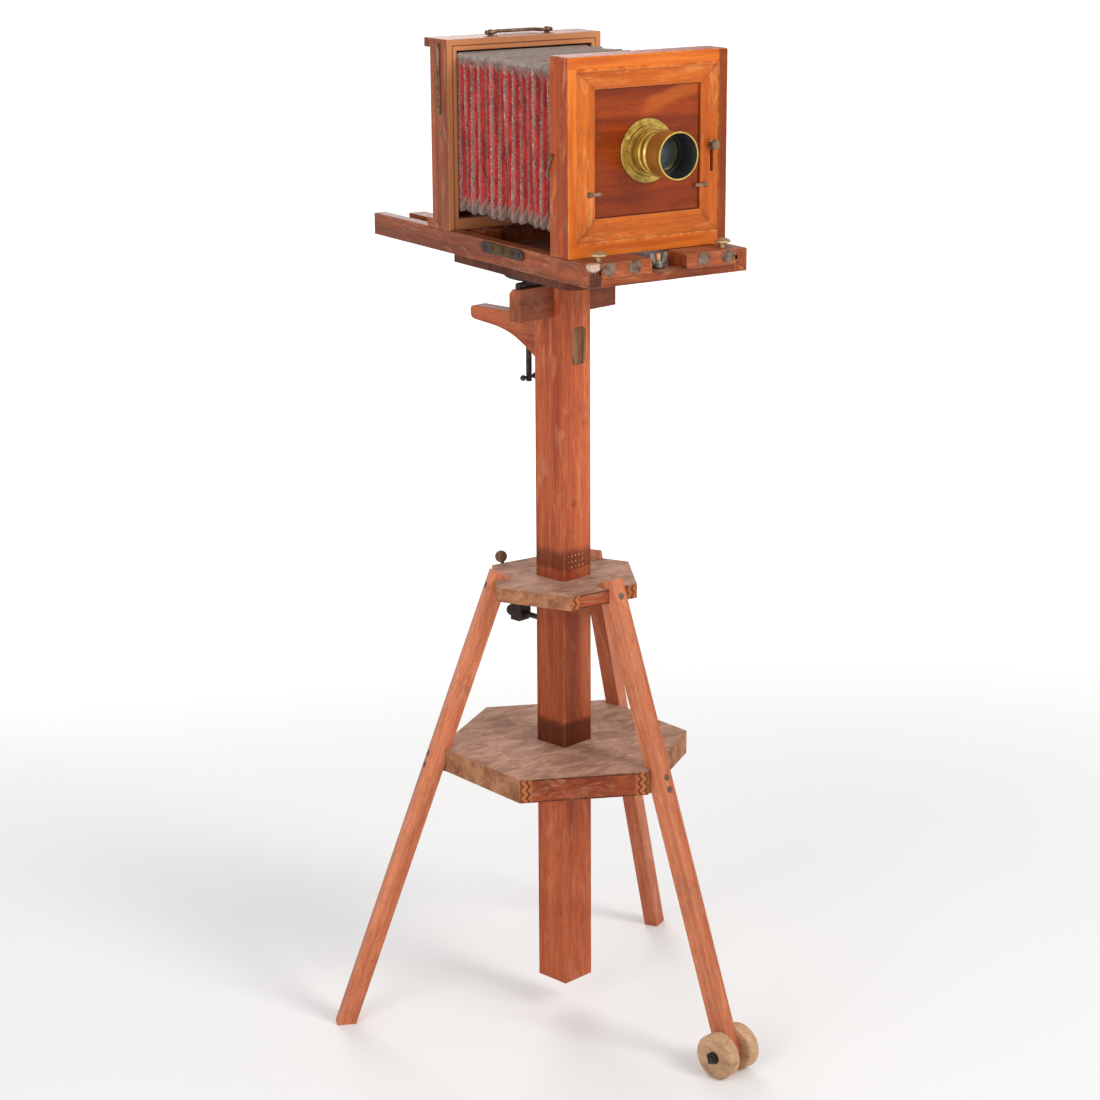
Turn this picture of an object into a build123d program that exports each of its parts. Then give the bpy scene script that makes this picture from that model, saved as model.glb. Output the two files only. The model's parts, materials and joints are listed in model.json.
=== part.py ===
from build123d import *
from math import atan, cos, radians, sin
import os

os.makedirs("parts", exist_ok=True)

# Studio plate camera on a one-column stand. Millimetres, +Z up, the lens looks along -Y.
# The origin is on the floor, under the middle of the whole object's box.

# The column's axis, measured from the origin. The stand and the camera are placed from it.
AXIS_X = 10.43
AXIS_Y = -14.06
COLUMN_TURN = 12.8

# Stand
COLUMN_SIDE = 57.0
COLUMN_BOTTOM = 52.0
COLUMN_TOP = 1116.0
GUIDE_GAP = 0.1
UPPER_TOP = 684.0
UPPER_THICK = 21.0
UPPER_RADIUS = 117.0
UPPER_TURN = 1.6
LOWER_TOP = 430.0
LOWER_THICK = 35.0
LOWER_RADIUS = 186.0
LOWER_TURN = 36.9
LEG_WIDE = 22.0
LEG_DEEP = 27.0
FOOT_RADIUS = 336.5
LEG_TOP_RADIUS = 97.0
AZIMUTH_WHEEL = -77.0
AZIMUTH_BACK = 31.0
AZIMUTH_LEFT = 157.0
TOP_OF_LEG_WHEEL = UPPER_TOP + 14.0
TOP_OF_LEG_BACK = UPPER_TOP + 10.0
TOP_OF_LEG_LEFT = UPPER_TOP + 12.0
WHEEL_RADIUS = 33.0
WHEEL_THICK = 20.0
WHEEL_GAP = 0.4
AXLE_RADIUS = 4.0
RUNNING_FIT = 0.05
SLIDE_GAP = 0.3

# Clamp behind the column
CLAMP_X = -10.0
CLAMP_Z = 612.0
CLAMP_HUB_Y = 94.0
CLAMP_WIDE = 20.0
CLAMP_SCREW_RADIUS = 4.0
CLAMP_ROD_RADIUS = 2.7
CLAMP_ROD_LONG = 78.0
CLAMP_LEAN = 18.0
CLAMP_BALL_RADIUS = 9.0

# Head
CROSSBAR_LONG = 196.0
CROSSBAR_DEEP = 22.0
CROSSBAR_BOTTOM = 1070.0
CROSSBAR_SHIFT = 2.0
CROSSBAR_CUT = 8.0
INLAY_WIDE = 30.0
INLAY_HIGH = 54.0
INLAY_DEEP = 3.0
INLAY_X = 3.0
INLAY_Z = 1026.0
INLAY_CORNER = 9.0
INLAY_PROUD = 0.2
ARM_TOP = 1062.0
ARM_WIDE = 24.0
ARM_TIP = 175.0
SCREW_Y = 67.7
SCREW_RADIUS = 4.2
SCREW_BOTTOM = 962.0
PIVOT_Z = 1120.5
PIVOT_RADIUS = 2.5
LUG_RADIUS = 4.1
LUG_WIDE = 14.0
LUG_X = 68.0
TABLE_RADIUS = 82.0
TABLE_THICK = 4.9

# Bed
BED_X = 43.0
BED_WIDE = 261.0
BED_TOP = 1174.0
RAIL_HIGH = 32.0
RAIL_WIDE = 20.0
BED_FRONT = -200.5
HINGE_Y = 18.0
BED_BACK = 383.5
BOARD_THICK = 12.0
BLOCK_DEEP = 46.0
CHANNEL_WIDE = 59.0
PLATFORM_LEFT = -87.5
PLATFORM_RIGHT = 107.0
PLATFORM_HALF = 150.0
PLATFORM_THICK = 11.0
PLATFORM_CORNER = 22.0

# Front standard
STANDARD_WIDE = 262.0
FRONT_Y = -150.0
FRONT_DEEP = 44.0
FRONT_HIGH = 268.0
BOX_SIDE = 14.0
BOX_RAIL = 20.0
PANEL_WIDE = 175.0
PANEL_LOW = 51.0
PANEL_TOP = 224.0
PANEL_RECESS = 4.0
PANEL_THICK = 8.0
FRAME_THICK = 13.0
LENS_Z = 137.0

# Rear standard
REAR_Y = 161.0
REAR_DEEP = 47.0
REAR_HIGH = 271.0
REAR_STILE = 16.0
LEDGE_DEEP = 16.0
LEDGE_HIGH = 13.0
TONGUE_DEEP = 5.0
TONGUE_HIGH = 6.0

# Bellows
BELLOWS_WIDE = 226.0
BELLOWS_LOW = 28.0
BELLOWS_TOP = 252.0
BELLOWS_WALL = 9.0

LEG_SLOPE = (FOOT_RADIUS - LEG_TOP_RADIUS) / UPPER_TOP
LEG_ANGLE = atan(LEG_SLOPE)
LEG_ACROSS = LEG_DEEP / cos(LEG_ANGLE)
BED_BOTTOM = BED_TOP - RAIL_HIGH
PLATFORM_BOTTOM = BED_BOTTOM - PLATFORM_THICK
TABLE_BOTTOM = PLATFORM_BOTTOM - SLIDE_GAP - TABLE_THICK
BED_INSIDE = BED_WIDE - 2 * RAIL_WIDE
LEG_AZIMUTHS = (AZIMUTH_WHEEL, AZIMUTH_BACK, AZIMUTH_LEFT)


# Planes. In each, local Y is up or, on a level plane, towards +Y.
def level(x, y, z, turn=0.0):
    """A level plane at a point given from the column's axis, turned about Z."""
    heading = (cos(radians(turn)), sin(radians(turn)), 0)
    return Plane(origin=(AXIS_X + x, AXIS_Y + y, z), x_dir=heading, z_dir=(0, 0, 1))


def on_column(x, y, z):
    """A level plane at a point given in the column's own turned axes."""
    c = cos(radians(COLUMN_TURN))
    s = sin(radians(COLUMN_TURN))
    return level(x * c - y * s, x * s + y * c, z, COLUMN_TURN)


def column_face(x, y, z):
    """An upright plane in the column's axes, facing the column's front."""
    base = on_column(x, y, z)
    return Plane(origin=base.origin, x_dir=base.x_dir, z_dir=-base.y_dir)


def column_side(x, y, z):
    """An upright plane in the column's axes: local X runs to the back, local Z to the left."""
    base = on_column(x, y, z)
    return Plane(origin=base.origin, x_dir=base.y_dir, z_dir=base.x_dir)


def radial(azimuth):
    """The upright plane through the column's axis at an azimuth: local X is the radius."""
    a = radians(azimuth)
    return Plane(origin=(AXIS_X, AXIS_Y, 0), x_dir=(cos(a), sin(a), 0), z_dir=(sin(a), -cos(a), 0))


def facing(x, y, z):
    """An upright plane that faces the front of the camera, at a point from the bed's centre line."""
    return Plane(origin=(AXIS_X + BED_X + x, AXIS_Y + y, z), x_dir=(1, 0, 0), z_dir=(0, -1, 0))


def bed_plane(x, y, z):
    """A level plane at a point given from the bed's centre line."""
    return level(BED_X + x, y, z)


def side_view(x, y, z):
    """An upright plane along the bed: local X runs to the back, local Z to the left."""
    return Plane(origin=(AXIS_X + BED_X + x, AXIS_Y + y, z), x_dir=(0, 1, 0), z_dir=(1, 0, 0))


def turning(plane, outline):
    """A solid of revolution about the plane's normal, from (radius, height) points."""
    profile = Plane(origin=plane.origin, x_dir=plane.x_dir, z_dir=-plane.y_dir)
    with BuildPart() as turned:
        with BuildSketch(profile):
            with BuildLine():
                Polyline(*outline, close=True)
            make_face()
        revolve(axis=Axis(plane.origin, plane.z_dir))
    return turned.part


def bar(plane, wide, deep, high, corner=0.0):
    """A straight bar standing on a plane, centred on it."""
    with BuildPart() as straight:
        with BuildSketch(plane):
            Rectangle(wide, deep)
        extrude(amount=high)
        if corner:
            chamfer(straight.edges(), length=corner)
    return straight.part


def pin(plane, radius, length):
    """A round pin standing on a plane."""
    with BuildPart() as round_pin:
        with BuildSketch(plane):
            Circle(radius)
        extrude(amount=length)
    return round_pin.part


def wood_screw(plane, head_radius, shank_radius, length):
    """A domed screw with a slotted head, its head standing on the plane."""
    dome = [(0, -length), (shank_radius, -length + shank_radius), (shank_radius, 0), (head_radius, 0),
            (head_radius, 0.8), (head_radius * 0.72, 1.9), (0, 2.3)]
    blank = turning(plane, dome)
    slot = bar(plane.offset(1.3), 2.2 * head_radius, 1.0, 2.0)
    with BuildPart() as screw:
        add(blank)
        add(slot, mode=Mode.SUBTRACT)
    return screw.part


def save(builder, name):
    """Labels a finished sub-part and writes its STEP file."""
    builder.part.label = name
    export_step(builder.part, f"parts/{name}.step")


# ---------------------------------------------------------------- stand
def leg_centre(z):
    """Radius of a leg's centre line at a height."""
    return FOOT_RADIUS - z * LEG_SLOPE


def leg_outline(low, high):
    """Corners of a leg in its radial plane, cut level at the foot and square to the leg at the top."""
    half = LEG_ACROSS / 2
    inner = high - LEG_ACROSS * cos(LEG_ANGLE) * sin(LEG_ANGLE)
    return [(leg_centre(low) - half, low), (leg_centre(low) + half, low),
            (leg_centre(high) + half, high), (leg_centre(inner) - half, inner)]


def leg_bar(azimuth, low, high):
    with BuildPart() as straight:
        with BuildSketch(radial(azimuth)):
            with BuildLine():
                Polyline(*leg_outline(low, high), close=True)
            make_face()
        extrude(amount=LEG_WIDE / 2, both=True)
    return straight.part


def leg_screw_plane(azimuth, z):
    """The plane on a leg's outer face where a screw sits."""
    radius = leg_centre(z) + LEG_ACROSS / 2
    a = radians(azimuth)
    out = Vector(cos(a), sin(a), 0)
    origin = Vector(AXIS_X, AXIS_Y, z) + out * radius
    normal = Vector(out.X * cos(LEG_ANGLE), out.Y * cos(LEG_ANGLE), sin(LEG_ANGLE))
    return Plane(origin=origin, x_dir=(-sin(a), cos(a), 0), z_dir=normal)


SCREW_HEIGHTS = (LOWER_TOP - 9.0, LOWER_TOP - 26.0, UPPER_TOP - 10.0)
SCREW_HEAD = 4.6
SCREW_SHANK = 2.2
SCREW_LONG = 44.0
screws = [wood_screw(leg_screw_plane(azimuth, z), SCREW_HEAD, SCREW_SHANK, SCREW_LONG)
          for azimuth in LEG_AZIMUTHS for z in SCREW_HEIGHTS]

leg_tops = (TOP_OF_LEG_WHEEL, TOP_OF_LEG_BACK, TOP_OF_LEG_LEFT)
ABOVE_LEG = 10.0
notches = [leg_bar(azimuth, 0, top + ABOVE_LEG) for azimuth, top in zip(LEG_AZIMUTHS, leg_tops)]

PEG_HOLE_X = -72.0
PEG_HOLE_Y = 62.0
PEG_HOLE_RADIUS = 3.0
with BuildPart() as upper_plate:
    with BuildSketch(level(0, 0, UPPER_TOP - UPPER_THICK, UPPER_TURN)):
        RegularPolygon(UPPER_RADIUS, 6)
    extrude(amount=UPPER_THICK)
    with BuildSketch(on_column(0, 0, UPPER_TOP)):
        Rectangle(COLUMN_SIDE + 2 * GUIDE_GAP, COLUMN_SIDE + 2 * GUIDE_GAP)
    extrude(amount=-UPPER_THICK, mode=Mode.SUBTRACT)
    with BuildSketch(on_column(PEG_HOLE_X, PEG_HOLE_Y, UPPER_TOP)):
        Circle(PEG_HOLE_RADIUS)
    extrude(amount=-UPPER_THICK, mode=Mode.SUBTRACT)
    add(notches, mode=Mode.SUBTRACT)
    add(screws, mode=Mode.SUBTRACT)
save(upper_plate, "upper_plate")

with BuildPart() as lower_plate:
    with BuildSketch(level(0, 0, LOWER_TOP - LOWER_THICK, LOWER_TURN)):
        RegularPolygon(LOWER_RADIUS, 6)
    extrude(amount=LOWER_THICK)
    with BuildSketch(on_column(0, 0, LOWER_TOP)):
        Rectangle(COLUMN_SIDE + 2 * GUIDE_GAP, COLUMN_SIDE + 2 * GUIDE_GAP)
    extrude(amount=-LOWER_THICK, mode=Mode.SUBTRACT)
    add(notches, mode=Mode.SUBTRACT)
    add(screws, mode=Mode.SUBTRACT)
save(lower_plate, "lower_plate")

with BuildPart() as leg_screws:
    add(screws)
save(leg_screws, "leg_screws")

with BuildPart() as leg_back:
    add(leg_bar(AZIMUTH_BACK, 0, TOP_OF_LEG_BACK))
    add(screws, mode=Mode.SUBTRACT)
save(leg_back, "leg_back")

with BuildPart() as leg_left:
    add(leg_bar(AZIMUTH_LEFT, 0, TOP_OF_LEG_LEFT))
    add(screws, mode=Mode.SUBTRACT)
save(leg_left, "leg_left")


# The wheeled leg stops in a round end about its axle.
AXLE_Z = WHEEL_RADIUS
AXLE_R = leg_centre(AXLE_Z)
AXLE_HALF = LEG_WIDE / 2 + WHEEL_GAP + WHEEL_THICK


def axle_plane(offset):
    """The plane across the axle, at a distance from the leg's middle towards the left wheel."""
    return Plane(origin=radial(AZIMUTH_WHEEL).from_local_coords(Vector(AXLE_R, AXLE_Z, 0)),
                 x_dir=radial(AZIMUTH_WHEEL).x_dir, z_dir=radial(AZIMUTH_WHEEL).z_dir).offset(offset)


with BuildPart() as leg_wheel:
    add(leg_bar(AZIMUTH_WHEEL, AXLE_Z, TOP_OF_LEG_WHEEL))
    with BuildSketch(axle_plane(0)):
        Circle(LEG_DEEP / 2)
    extrude(amount=LEG_WIDE / 2, both=True)
    with BuildSketch(axle_plane(0)):
        Circle(AXLE_RADIUS)
    extrude(amount=LEG_WIDE / 2, both=True, mode=Mode.SUBTRACT)
    add(screws, mode=Mode.SUBTRACT)
save(leg_wheel, "leg_wheel")

AXLE_END = 9.0
AXLE_EDGE = 0.8
with BuildPart() as wheel_axle:
    with BuildSketch(axle_plane(0)):
        Circle(AXLE_RADIUS)
    extrude(amount=AXLE_HALF + AXLE_END, both=True)
    chamfer(wheel_axle.edges().filter_by(GeomType.CIRCLE), length=AXLE_EDGE)
save(wheel_axle, "wheel_axle")

WASHER_GAP = 0.5
WASHER_RADIUS = 9.0
WASHER_THICK = 1.2
NUT_SIDE = 14.0
NUT_THICK = 4.8
NUT_TURN = 18.0
with BuildPart() as axle_nuts:
    for side in (-1, 1):
        with BuildSketch(axle_plane(side * (AXLE_HALF + WASHER_GAP))):
            Circle(WASHER_RADIUS)
        extrude(amount=side * WASHER_THICK)
        with BuildSketch(axle_plane(side * (AXLE_HALF + WASHER_GAP + WASHER_THICK))):
            Rectangle(NUT_SIDE, NUT_SIDE, rotation=NUT_TURN)
        extrude(amount=side * NUT_THICK)
    with BuildSketch(axle_plane(0)):
        Circle(AXLE_RADIUS)
    extrude(amount=AXLE_HALF + AXLE_END, both=True, mode=Mode.SUBTRACT)
save(axle_nuts, "axle_nuts")


def wheel(side):
    """A turned wooden wheel with soft edges and a shallow hub."""
    inner = LEG_WIDE / 2 + WHEEL_GAP
    plane = axle_plane(side * inner)
    if side < 0:
        plane = Plane(origin=plane.origin, x_dir=plane.x_dir, z_dir=-plane.z_dir)
    soft = 2.0
    bore = AXLE_RADIUS + RUNNING_FIT
    outline = [(bore, 0), (WHEEL_RADIUS - soft, 0), (WHEEL_RADIUS, soft), (WHEEL_RADIUS, WHEEL_THICK - soft),
               (WHEEL_RADIUS - soft, WHEEL_THICK), (bore, WHEEL_THICK)]
    with BuildPart() as round_wheel:
        add(turning(plane, outline))
    return round_wheel


save(wheel(1), "wheel_left")
save(wheel(-1), "wheel_right")

# ---------------------------------------------------------------- column clamp
# An iron hanger under the upper plate carries a screw that presses the column from behind.
# The screw's lever rises past the plate's back edge to a wooden ball.
UPPER_BOTTOM = UPPER_TOP - UPPER_THICK
HANGER_START = CLAMP_HUB_Y - 26.0
HANGER_END = CLAMP_HUB_Y - 4.0
HANGER_FOOT = 16.0
HANGER_BELOW = 11.0
HANGER_PLATE = 5.0
with BuildPart() as clamp_bracket:
    with BuildSketch(column_side(CLAMP_X, 0, 0)):
        with BuildLine():
            Polyline((HANGER_START - HANGER_FOOT, UPPER_BOTTOM), (HANGER_END, UPPER_BOTTOM),
                     (HANGER_END, CLAMP_Z - HANGER_BELOW), (HANGER_START + 4, CLAMP_Z - HANGER_BELOW),
                     (HANGER_START, CLAMP_Z - HANGER_BELOW + 5), (HANGER_START, UPPER_BOTTOM - HANGER_PLATE),
                     (HANGER_START - HANGER_FOOT, UPPER_BOTTOM - HANGER_PLATE), close=True)
        make_face()
    extrude(amount=CLAMP_WIDE / 2, both=True)
    with BuildSketch(column_face(CLAMP_X, HANGER_END, CLAMP_Z)):
        Circle(CLAMP_SCREW_RADIUS + RUNNING_FIT)
    extrude(amount=HANGER_END - HANGER_START, mode=Mode.SUBTRACT)
save(clamp_bracket, "clamp_bracket")

lever_lean = radians(CLAMP_LEAN)
hub_plane = column_face(CLAMP_X, CLAMP_HUB_Y, CLAMP_Z)
backwards = -hub_plane.z_dir
lever_dir = backwards * sin(lever_lean) + Vector(0, 0, 1) * cos(lever_lean)
lever_plane = Plane(origin=hub_plane.origin, x_dir=hub_plane.x_dir, z_dir=lever_dir)
PAD_FACE = COLUMN_SIDE / 2 + SLIDE_GAP
pad_reach = CLAMP_HUB_Y - PAD_FACE
PAD_RADIUS = 8.5
PAD_THICK = 4.0
HUB_NECK = 3.7
with BuildPart() as clamp_lever:
    add(turning(hub_plane, [(0, -9), (7, -8), (PAD_RADIUS, -5), (PAD_RADIUS, 3),
                            (CLAMP_SCREW_RADIUS, HUB_NECK), (CLAMP_SCREW_RADIUS, pad_reach - PAD_THICK),
                            (PAD_RADIUS, pad_reach - PAD_THICK), (PAD_RADIUS, pad_reach), (0, pad_reach)]))
    add(pin(lever_plane, CLAMP_ROD_RADIUS, CLAMP_ROD_LONG))
save(clamp_lever, "clamp_lever")

BALL_SINK = 5.0
with BuildPart() as clamp_ball:
    with Locations(lever_plane.offset(CLAMP_ROD_LONG + CLAMP_BALL_RADIUS - BALL_SINK)):
        Sphere(CLAMP_BALL_RADIUS)
    add(clamp_lever.part, mode=Mode.SUBTRACT)
save(clamp_ball, "clamp_ball")

# ---------------------------------------------------------------- column and head
SIDE = COLUMN_SIDE / 2
EDGE = 1.2


def arm_outline():
    """The curved arm in the column's side plane: a level top and an arched lower edge."""
    with BuildPart() as curved:
        with BuildSketch(column_side(0, 0, 0)):
            with BuildLine():
                top = Line((SIDE - 8, ARM_TOP), (ARM_TIP - 8, ARM_TOP))
                tip = Spline(top @ 1, (ARM_TIP, ARM_TOP - 10), (ARM_TIP - 9, ARM_TOP - 20),
                             tangents=[(1, 0), (-1, -0.1)])
                under = Spline(tip @ 1, (95, 1031), (53, 1009), (SIDE, 985),
                               tangents=[(-1, -0.12), (-0.5, -1)])
                back = Line(under @ 1, (SIDE - 8, 985))
                Line(back @ 1, top @ 0)
            make_face()
        extrude(amount=ARM_WIDE / 2, both=True)
    return curved.part


arm_blank = arm_outline()
crossbar_blank = bar(on_column(CROSSBAR_SHIFT, 0, CROSSBAR_BOTTOM), CROSSBAR_LONG, CROSSBAR_DEEP,
                     COLUMN_TOP - CROSSBAR_BOTTOM)

with BuildPart() as column_inlay:
    with BuildSketch(column_face(INLAY_X, -SIDE + INLAY_DEEP, INLAY_Z)):
        RectangleRounded(INLAY_WIDE, INLAY_HIGH, INLAY_CORNER)
    extrude(amount=INLAY_DEEP + INLAY_PROUD)
save(column_inlay, "column_inlay")

with BuildPart() as column:
    with BuildSketch(on_column(0, 0, COLUMN_BOTTOM)):
        Rectangle(COLUMN_SIDE, COLUMN_SIDE)
    extrude(amount=COLUMN_TOP - COLUMN_BOTTOM)
    chamfer(column.edges().filter_by(Axis.Z), length=EDGE)
    add(crossbar_blank, mode=Mode.SUBTRACT)
    add(arm_blank, mode=Mode.SUBTRACT)
    add(column_inlay.part, mode=Mode.SUBTRACT)
save(column, "column")

with BuildPart() as crossbar:
    add(crossbar_blank)
    long_edges = crossbar.edges().filter_by(lambda edge: edge.length > CROSSBAR_LONG - 1)
    upper_back = long_edges.sort_by(Axis.Z)[-2:].sort_by(Axis.Y)[-1]
    chamfer(upper_back, length=CROSSBAR_CUT)
    chamfer(crossbar.edges().filter_by(Axis.Z), length=EDGE)
save(crossbar, "crossbar")

ARM_NUT_RADIUS = 9.0
ARM_NUT_HIGH = 10.0
rod_plane = on_column(0, SCREW_Y, SCREW_BOTTOM)
with BuildPart() as arm_nut:
    with BuildSketch(on_column(0, SCREW_Y, ARM_TOP - ARM_NUT_HIGH)):
        Circle(ARM_NUT_RADIUS)
        Circle(SCREW_RADIUS + RUNNING_FIT, mode=Mode.SUBTRACT)
    extrude(amount=ARM_NUT_HIGH)
save(arm_nut, "arm_nut")

with BuildPart() as tilt_arm:
    add(arm_blank)
    with BuildSketch(on_column(0, SCREW_Y, ARM_TOP)):
        Circle(SCREW_RADIUS + SLIDE_GAP)
    extrude(amount=SCREW_BOTTOM - ARM_TOP, mode=Mode.SUBTRACT)
    with BuildSketch(on_column(0, SCREW_Y, ARM_TOP)):
        Circle(ARM_NUT_RADIUS)
    extrude(amount=-ARM_NUT_HIGH, mode=Mode.SUBTRACT)
save(tilt_arm, "tilt_arm")

TIP_GAP = 0.4
SCREW_TIP = TABLE_BOTTOM - TIP_GAP
TIP_TAPER_HIGH = 4.0
TIP_TAPER_IN = 2.2
HANDLE_BAR_RADIUS = 2.2
HANDLE_BAR_Z = SCREW_BOTTOM + 6.0
screw_high = SCREW_TIP - SCREW_BOTTOM
with BuildPart() as tilt_screw:
    add(turning(rod_plane, [(0, 0), (SCREW_RADIUS, 0), (SCREW_RADIUS, screw_high - TIP_TAPER_HIGH),
                            (SCREW_RADIUS - TIP_TAPER_IN, screw_high), (0, screw_high)]))
    with BuildSketch(column_side(0, SCREW_Y, HANDLE_BAR_Z)):
        Circle(HANDLE_BAR_RADIUS)
    extrude(amount=2 * SCREW_RADIUS, both=True, mode=Mode.SUBTRACT)
save(tilt_screw, "tilt_screw")

# A short bar with two ball ends goes through the foot of the screw.
handle_axis = column_side(0, SCREW_Y, HANDLE_BAR_Z)
with BuildPart() as tilt_handle:
    add(turning(handle_axis, [(0, -16), (3.4, -15), (4.6, -12), (3.4, -9), (HANDLE_BAR_RADIUS, -8),
                              (HANDLE_BAR_RADIUS, 8), (3.4, 9), (4.6, 12), (3.4, 15), (0, 16)]))
save(tilt_handle, "tilt_handle")

# Fixed lugs on the crossbar, moving lugs under the tilting table, and one pin through each pair.
LUG_STEP = LUG_WIDE + 2 * SLIDE_GAP


def lug(x, foot_z, wide):
    """A rounded lug about the tilt axis, with its foot at a height."""
    reach = PIVOT_Z - foot_z
    plane = column_side(x, 0, PIVOT_Z)
    with BuildPart() as knuckle:
        with BuildSketch(plane):
            Circle(LUG_RADIUS)
            with Locations((0, -reach / 2)):
                Rectangle(2 * LUG_RADIUS, abs(reach))
            Circle(PIVOT_RADIUS, mode=Mode.SUBTRACT)
        extrude(amount=wide / 2, both=True)
    return knuckle.part


with BuildPart() as tilt_lugs:
    for side in (-1, 1):
        for step in (-1, 1):
            add(lug(side * LUG_X + step * LUG_STEP, COLUMN_TOP, LUG_WIDE))
save(tilt_lugs, "tilt_lugs")

with BuildPart() as hinge_pins:
    for side in (-1, 1):
        add(pin(column_side(side * LUG_X, 0, PIVOT_Z).offset(-1.5 * LUG_STEP), PIVOT_RADIUS, 3 * LUG_STEP))
save(hinge_pins, "hinge_pins")

BOLT_RADIUS = 5.0
BOLT_HEAD_RADIUS = 9.5
BOLT_HEAD_THICK = 5.5
BOLT_NUT_RADIUS = 11.0
with BuildPart() as tilt_table:
    with BuildSketch(on_column(0, 0, TABLE_BOTTOM)):
        Circle(TABLE_RADIUS)
        Circle(BOLT_RADIUS + RUNNING_FIT, mode=Mode.SUBTRACT)
    extrude(amount=TABLE_THICK)
    for side in (-1, 1):
        add(lug(side * LUG_X, TABLE_BOTTOM, LUG_WIDE))
    for side in (-1, 1):
        with BuildSketch(column_side(side * LUG_X, 0, PIVOT_Z)):
            Circle(PIVOT_RADIUS + RUNNING_FIT)
        extrude(amount=LUG_WIDE, both=True, mode=Mode.SUBTRACT)
save(tilt_table, "tilt_table")

# ---------------------------------------------------------------- platform and bed
with BuildPart() as platform:
    middle = (PLATFORM_LEFT + PLATFORM_RIGHT) / 2
    with BuildSketch(level(middle, 0, PLATFORM_BOTTOM)):
        Rectangle(PLATFORM_RIGHT - PLATFORM_LEFT, 2 * PLATFORM_HALF)
    extrude(amount=PLATFORM_THICK)
    front_corners = platform.edges().filter_by(Axis.Z).group_by(Axis.Y)[0]
    fillet(front_corners, radius=PLATFORM_CORNER)
    with BuildSketch(level(0, 0, PLATFORM_BOTTOM)):
        Circle(BOLT_RADIUS)
    extrude(amount=PLATFORM_THICK, mode=Mode.SUBTRACT)
    with BuildSketch(level(0, 0, PLATFORM_BOTTOM + PLATFORM_THICK)):
        RegularPolygon(BOLT_HEAD_RADIUS, 6)
    extrude(amount=-BOLT_HEAD_THICK, mode=Mode.SUBTRACT)
save(platform, "platform")

# The swivel bolt drops through the platform and the table; its round nut is under the table.
NUT_BELOW = 4.0
with BuildPart() as swivel_bolt:
    with BuildSketch(level(0, 0, PLATFORM_BOTTOM + PLATFORM_THICK)):
        RegularPolygon(BOLT_HEAD_RADIUS, 6)
    extrude(amount=-BOLT_HEAD_THICK)
    with BuildSketch(level(0, 0, PLATFORM_BOTTOM + PLATFORM_THICK)):
        Circle(BOLT_RADIUS)
    extrude(amount=-(PLATFORM_THICK + TABLE_THICK + NUT_BELOW + 2 * SLIDE_GAP))
    with BuildSketch(level(0, 0, TABLE_BOTTOM - SLIDE_GAP)):
        Circle(BOLT_NUT_RADIUS)
    extrude(amount=-NUT_BELOW)
save(swivel_bolt, "swivel_bolt")

RAIL_X = BED_WIDE / 2 - RAIL_WIDE / 2
GROOVE_Z = BED_TOP - 12.0
GROOVE_HIGH = TONGUE_HIGH + 2 * SLIDE_GAP


def rail(side, start, end):
    """One side rail of the bed, with the groove for the slide on its inner face."""
    with BuildPart() as beam:
        with BuildSketch(bed_plane(side * RAIL_X, (start + end) / 2, BED_BOTTOM)):
            Rectangle(RAIL_WIDE, end - start)
        extrude(amount=RAIL_HIGH)
        outer = beam.edges().filter_by(Axis.Y).group_by(Axis.Z)[-1]
        chamfer(outer, length=EDGE)
        inner_x = side * (BED_INSIDE / 2 + TONGUE_DEEP / 2 + SLIDE_GAP / 2)
        with BuildSketch(bed_plane(inner_x, (start + end) / 2, GROOVE_Z - GROOVE_HIGH / 2)):
            Rectangle(TONGUE_DEEP + SLIDE_GAP, end - start)
        extrude(amount=GROOVE_HIGH, mode=Mode.SUBTRACT)
    return beam


save(rail(-1, BED_FRONT, HINGE_Y), "front_rail_left")
save(rail(1, BED_FRONT, HINGE_Y), "front_rail_right")
save(rail(-1, HINGE_Y, BED_BACK), "tail_rail_left")
save(rail(1, HINGE_Y, BED_BACK), "tail_rail_right")

# The bottom board fills the front of the bed between the rails; the tail has a cross rail.
CROSS_WIDE = 40.0
TAIL_BOARD_BACK = 205.0
with BuildPart() as bed_board:
    with BuildSketch(bed_plane(0, (BED_FRONT + HINGE_Y) / 2, BED_BOTTOM)):
        Rectangle(BED_INSIDE, HINGE_Y - BED_FRONT)
    extrude(amount=BOARD_THICK)
save(bed_board, "bed_board")

with BuildPart() as tail_cross_rails:
    for start, end in ((HINGE_Y, TAIL_BOARD_BACK), (BED_BACK - CROSS_WIDE, BED_BACK)):
        with BuildSketch(bed_plane(0, (start + end) / 2, BED_BOTTOM)):
            Rectangle(BED_INSIDE, end - start)
        extrude(amount=BOARD_THICK)
save(tail_cross_rails, "tail_cross_rails")

HINGE_LONG = 112.0
HINGE_HIGH = 15.0
HINGE_THICK = 2.0
HINGE_DROP = 10.0
HINGE_SCREW_YS = (-44.0, -26.0, 26.0, 44.0)
HINGE_SCREW_RADIUS = 3.0
HINGE_PIN_RADIUS = 5.0
HINGE_HEAD = 1.2
with BuildPart() as tailboard_hinges:
    for side in (-1, 1):
        with BuildSketch(side_view(side * (BED_WIDE / 2), HINGE_Y, BED_TOP - HINGE_DROP)):
            SlotOverall(HINGE_LONG, HINGE_HIGH)
        extrude(amount=side * HINGE_THICK)
        with BuildSketch(side_view(side * (BED_WIDE / 2 + HINGE_THICK), HINGE_Y, BED_TOP - HINGE_DROP)):
            Circle(HINGE_PIN_RADIUS)
            with Locations([(y, 0) for y in HINGE_SCREW_YS]):
                Circle(HINGE_SCREW_RADIUS)
        extrude(amount=side * HINGE_HEAD)
save(tailboard_hinges, "tailboard_hinges")

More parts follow.
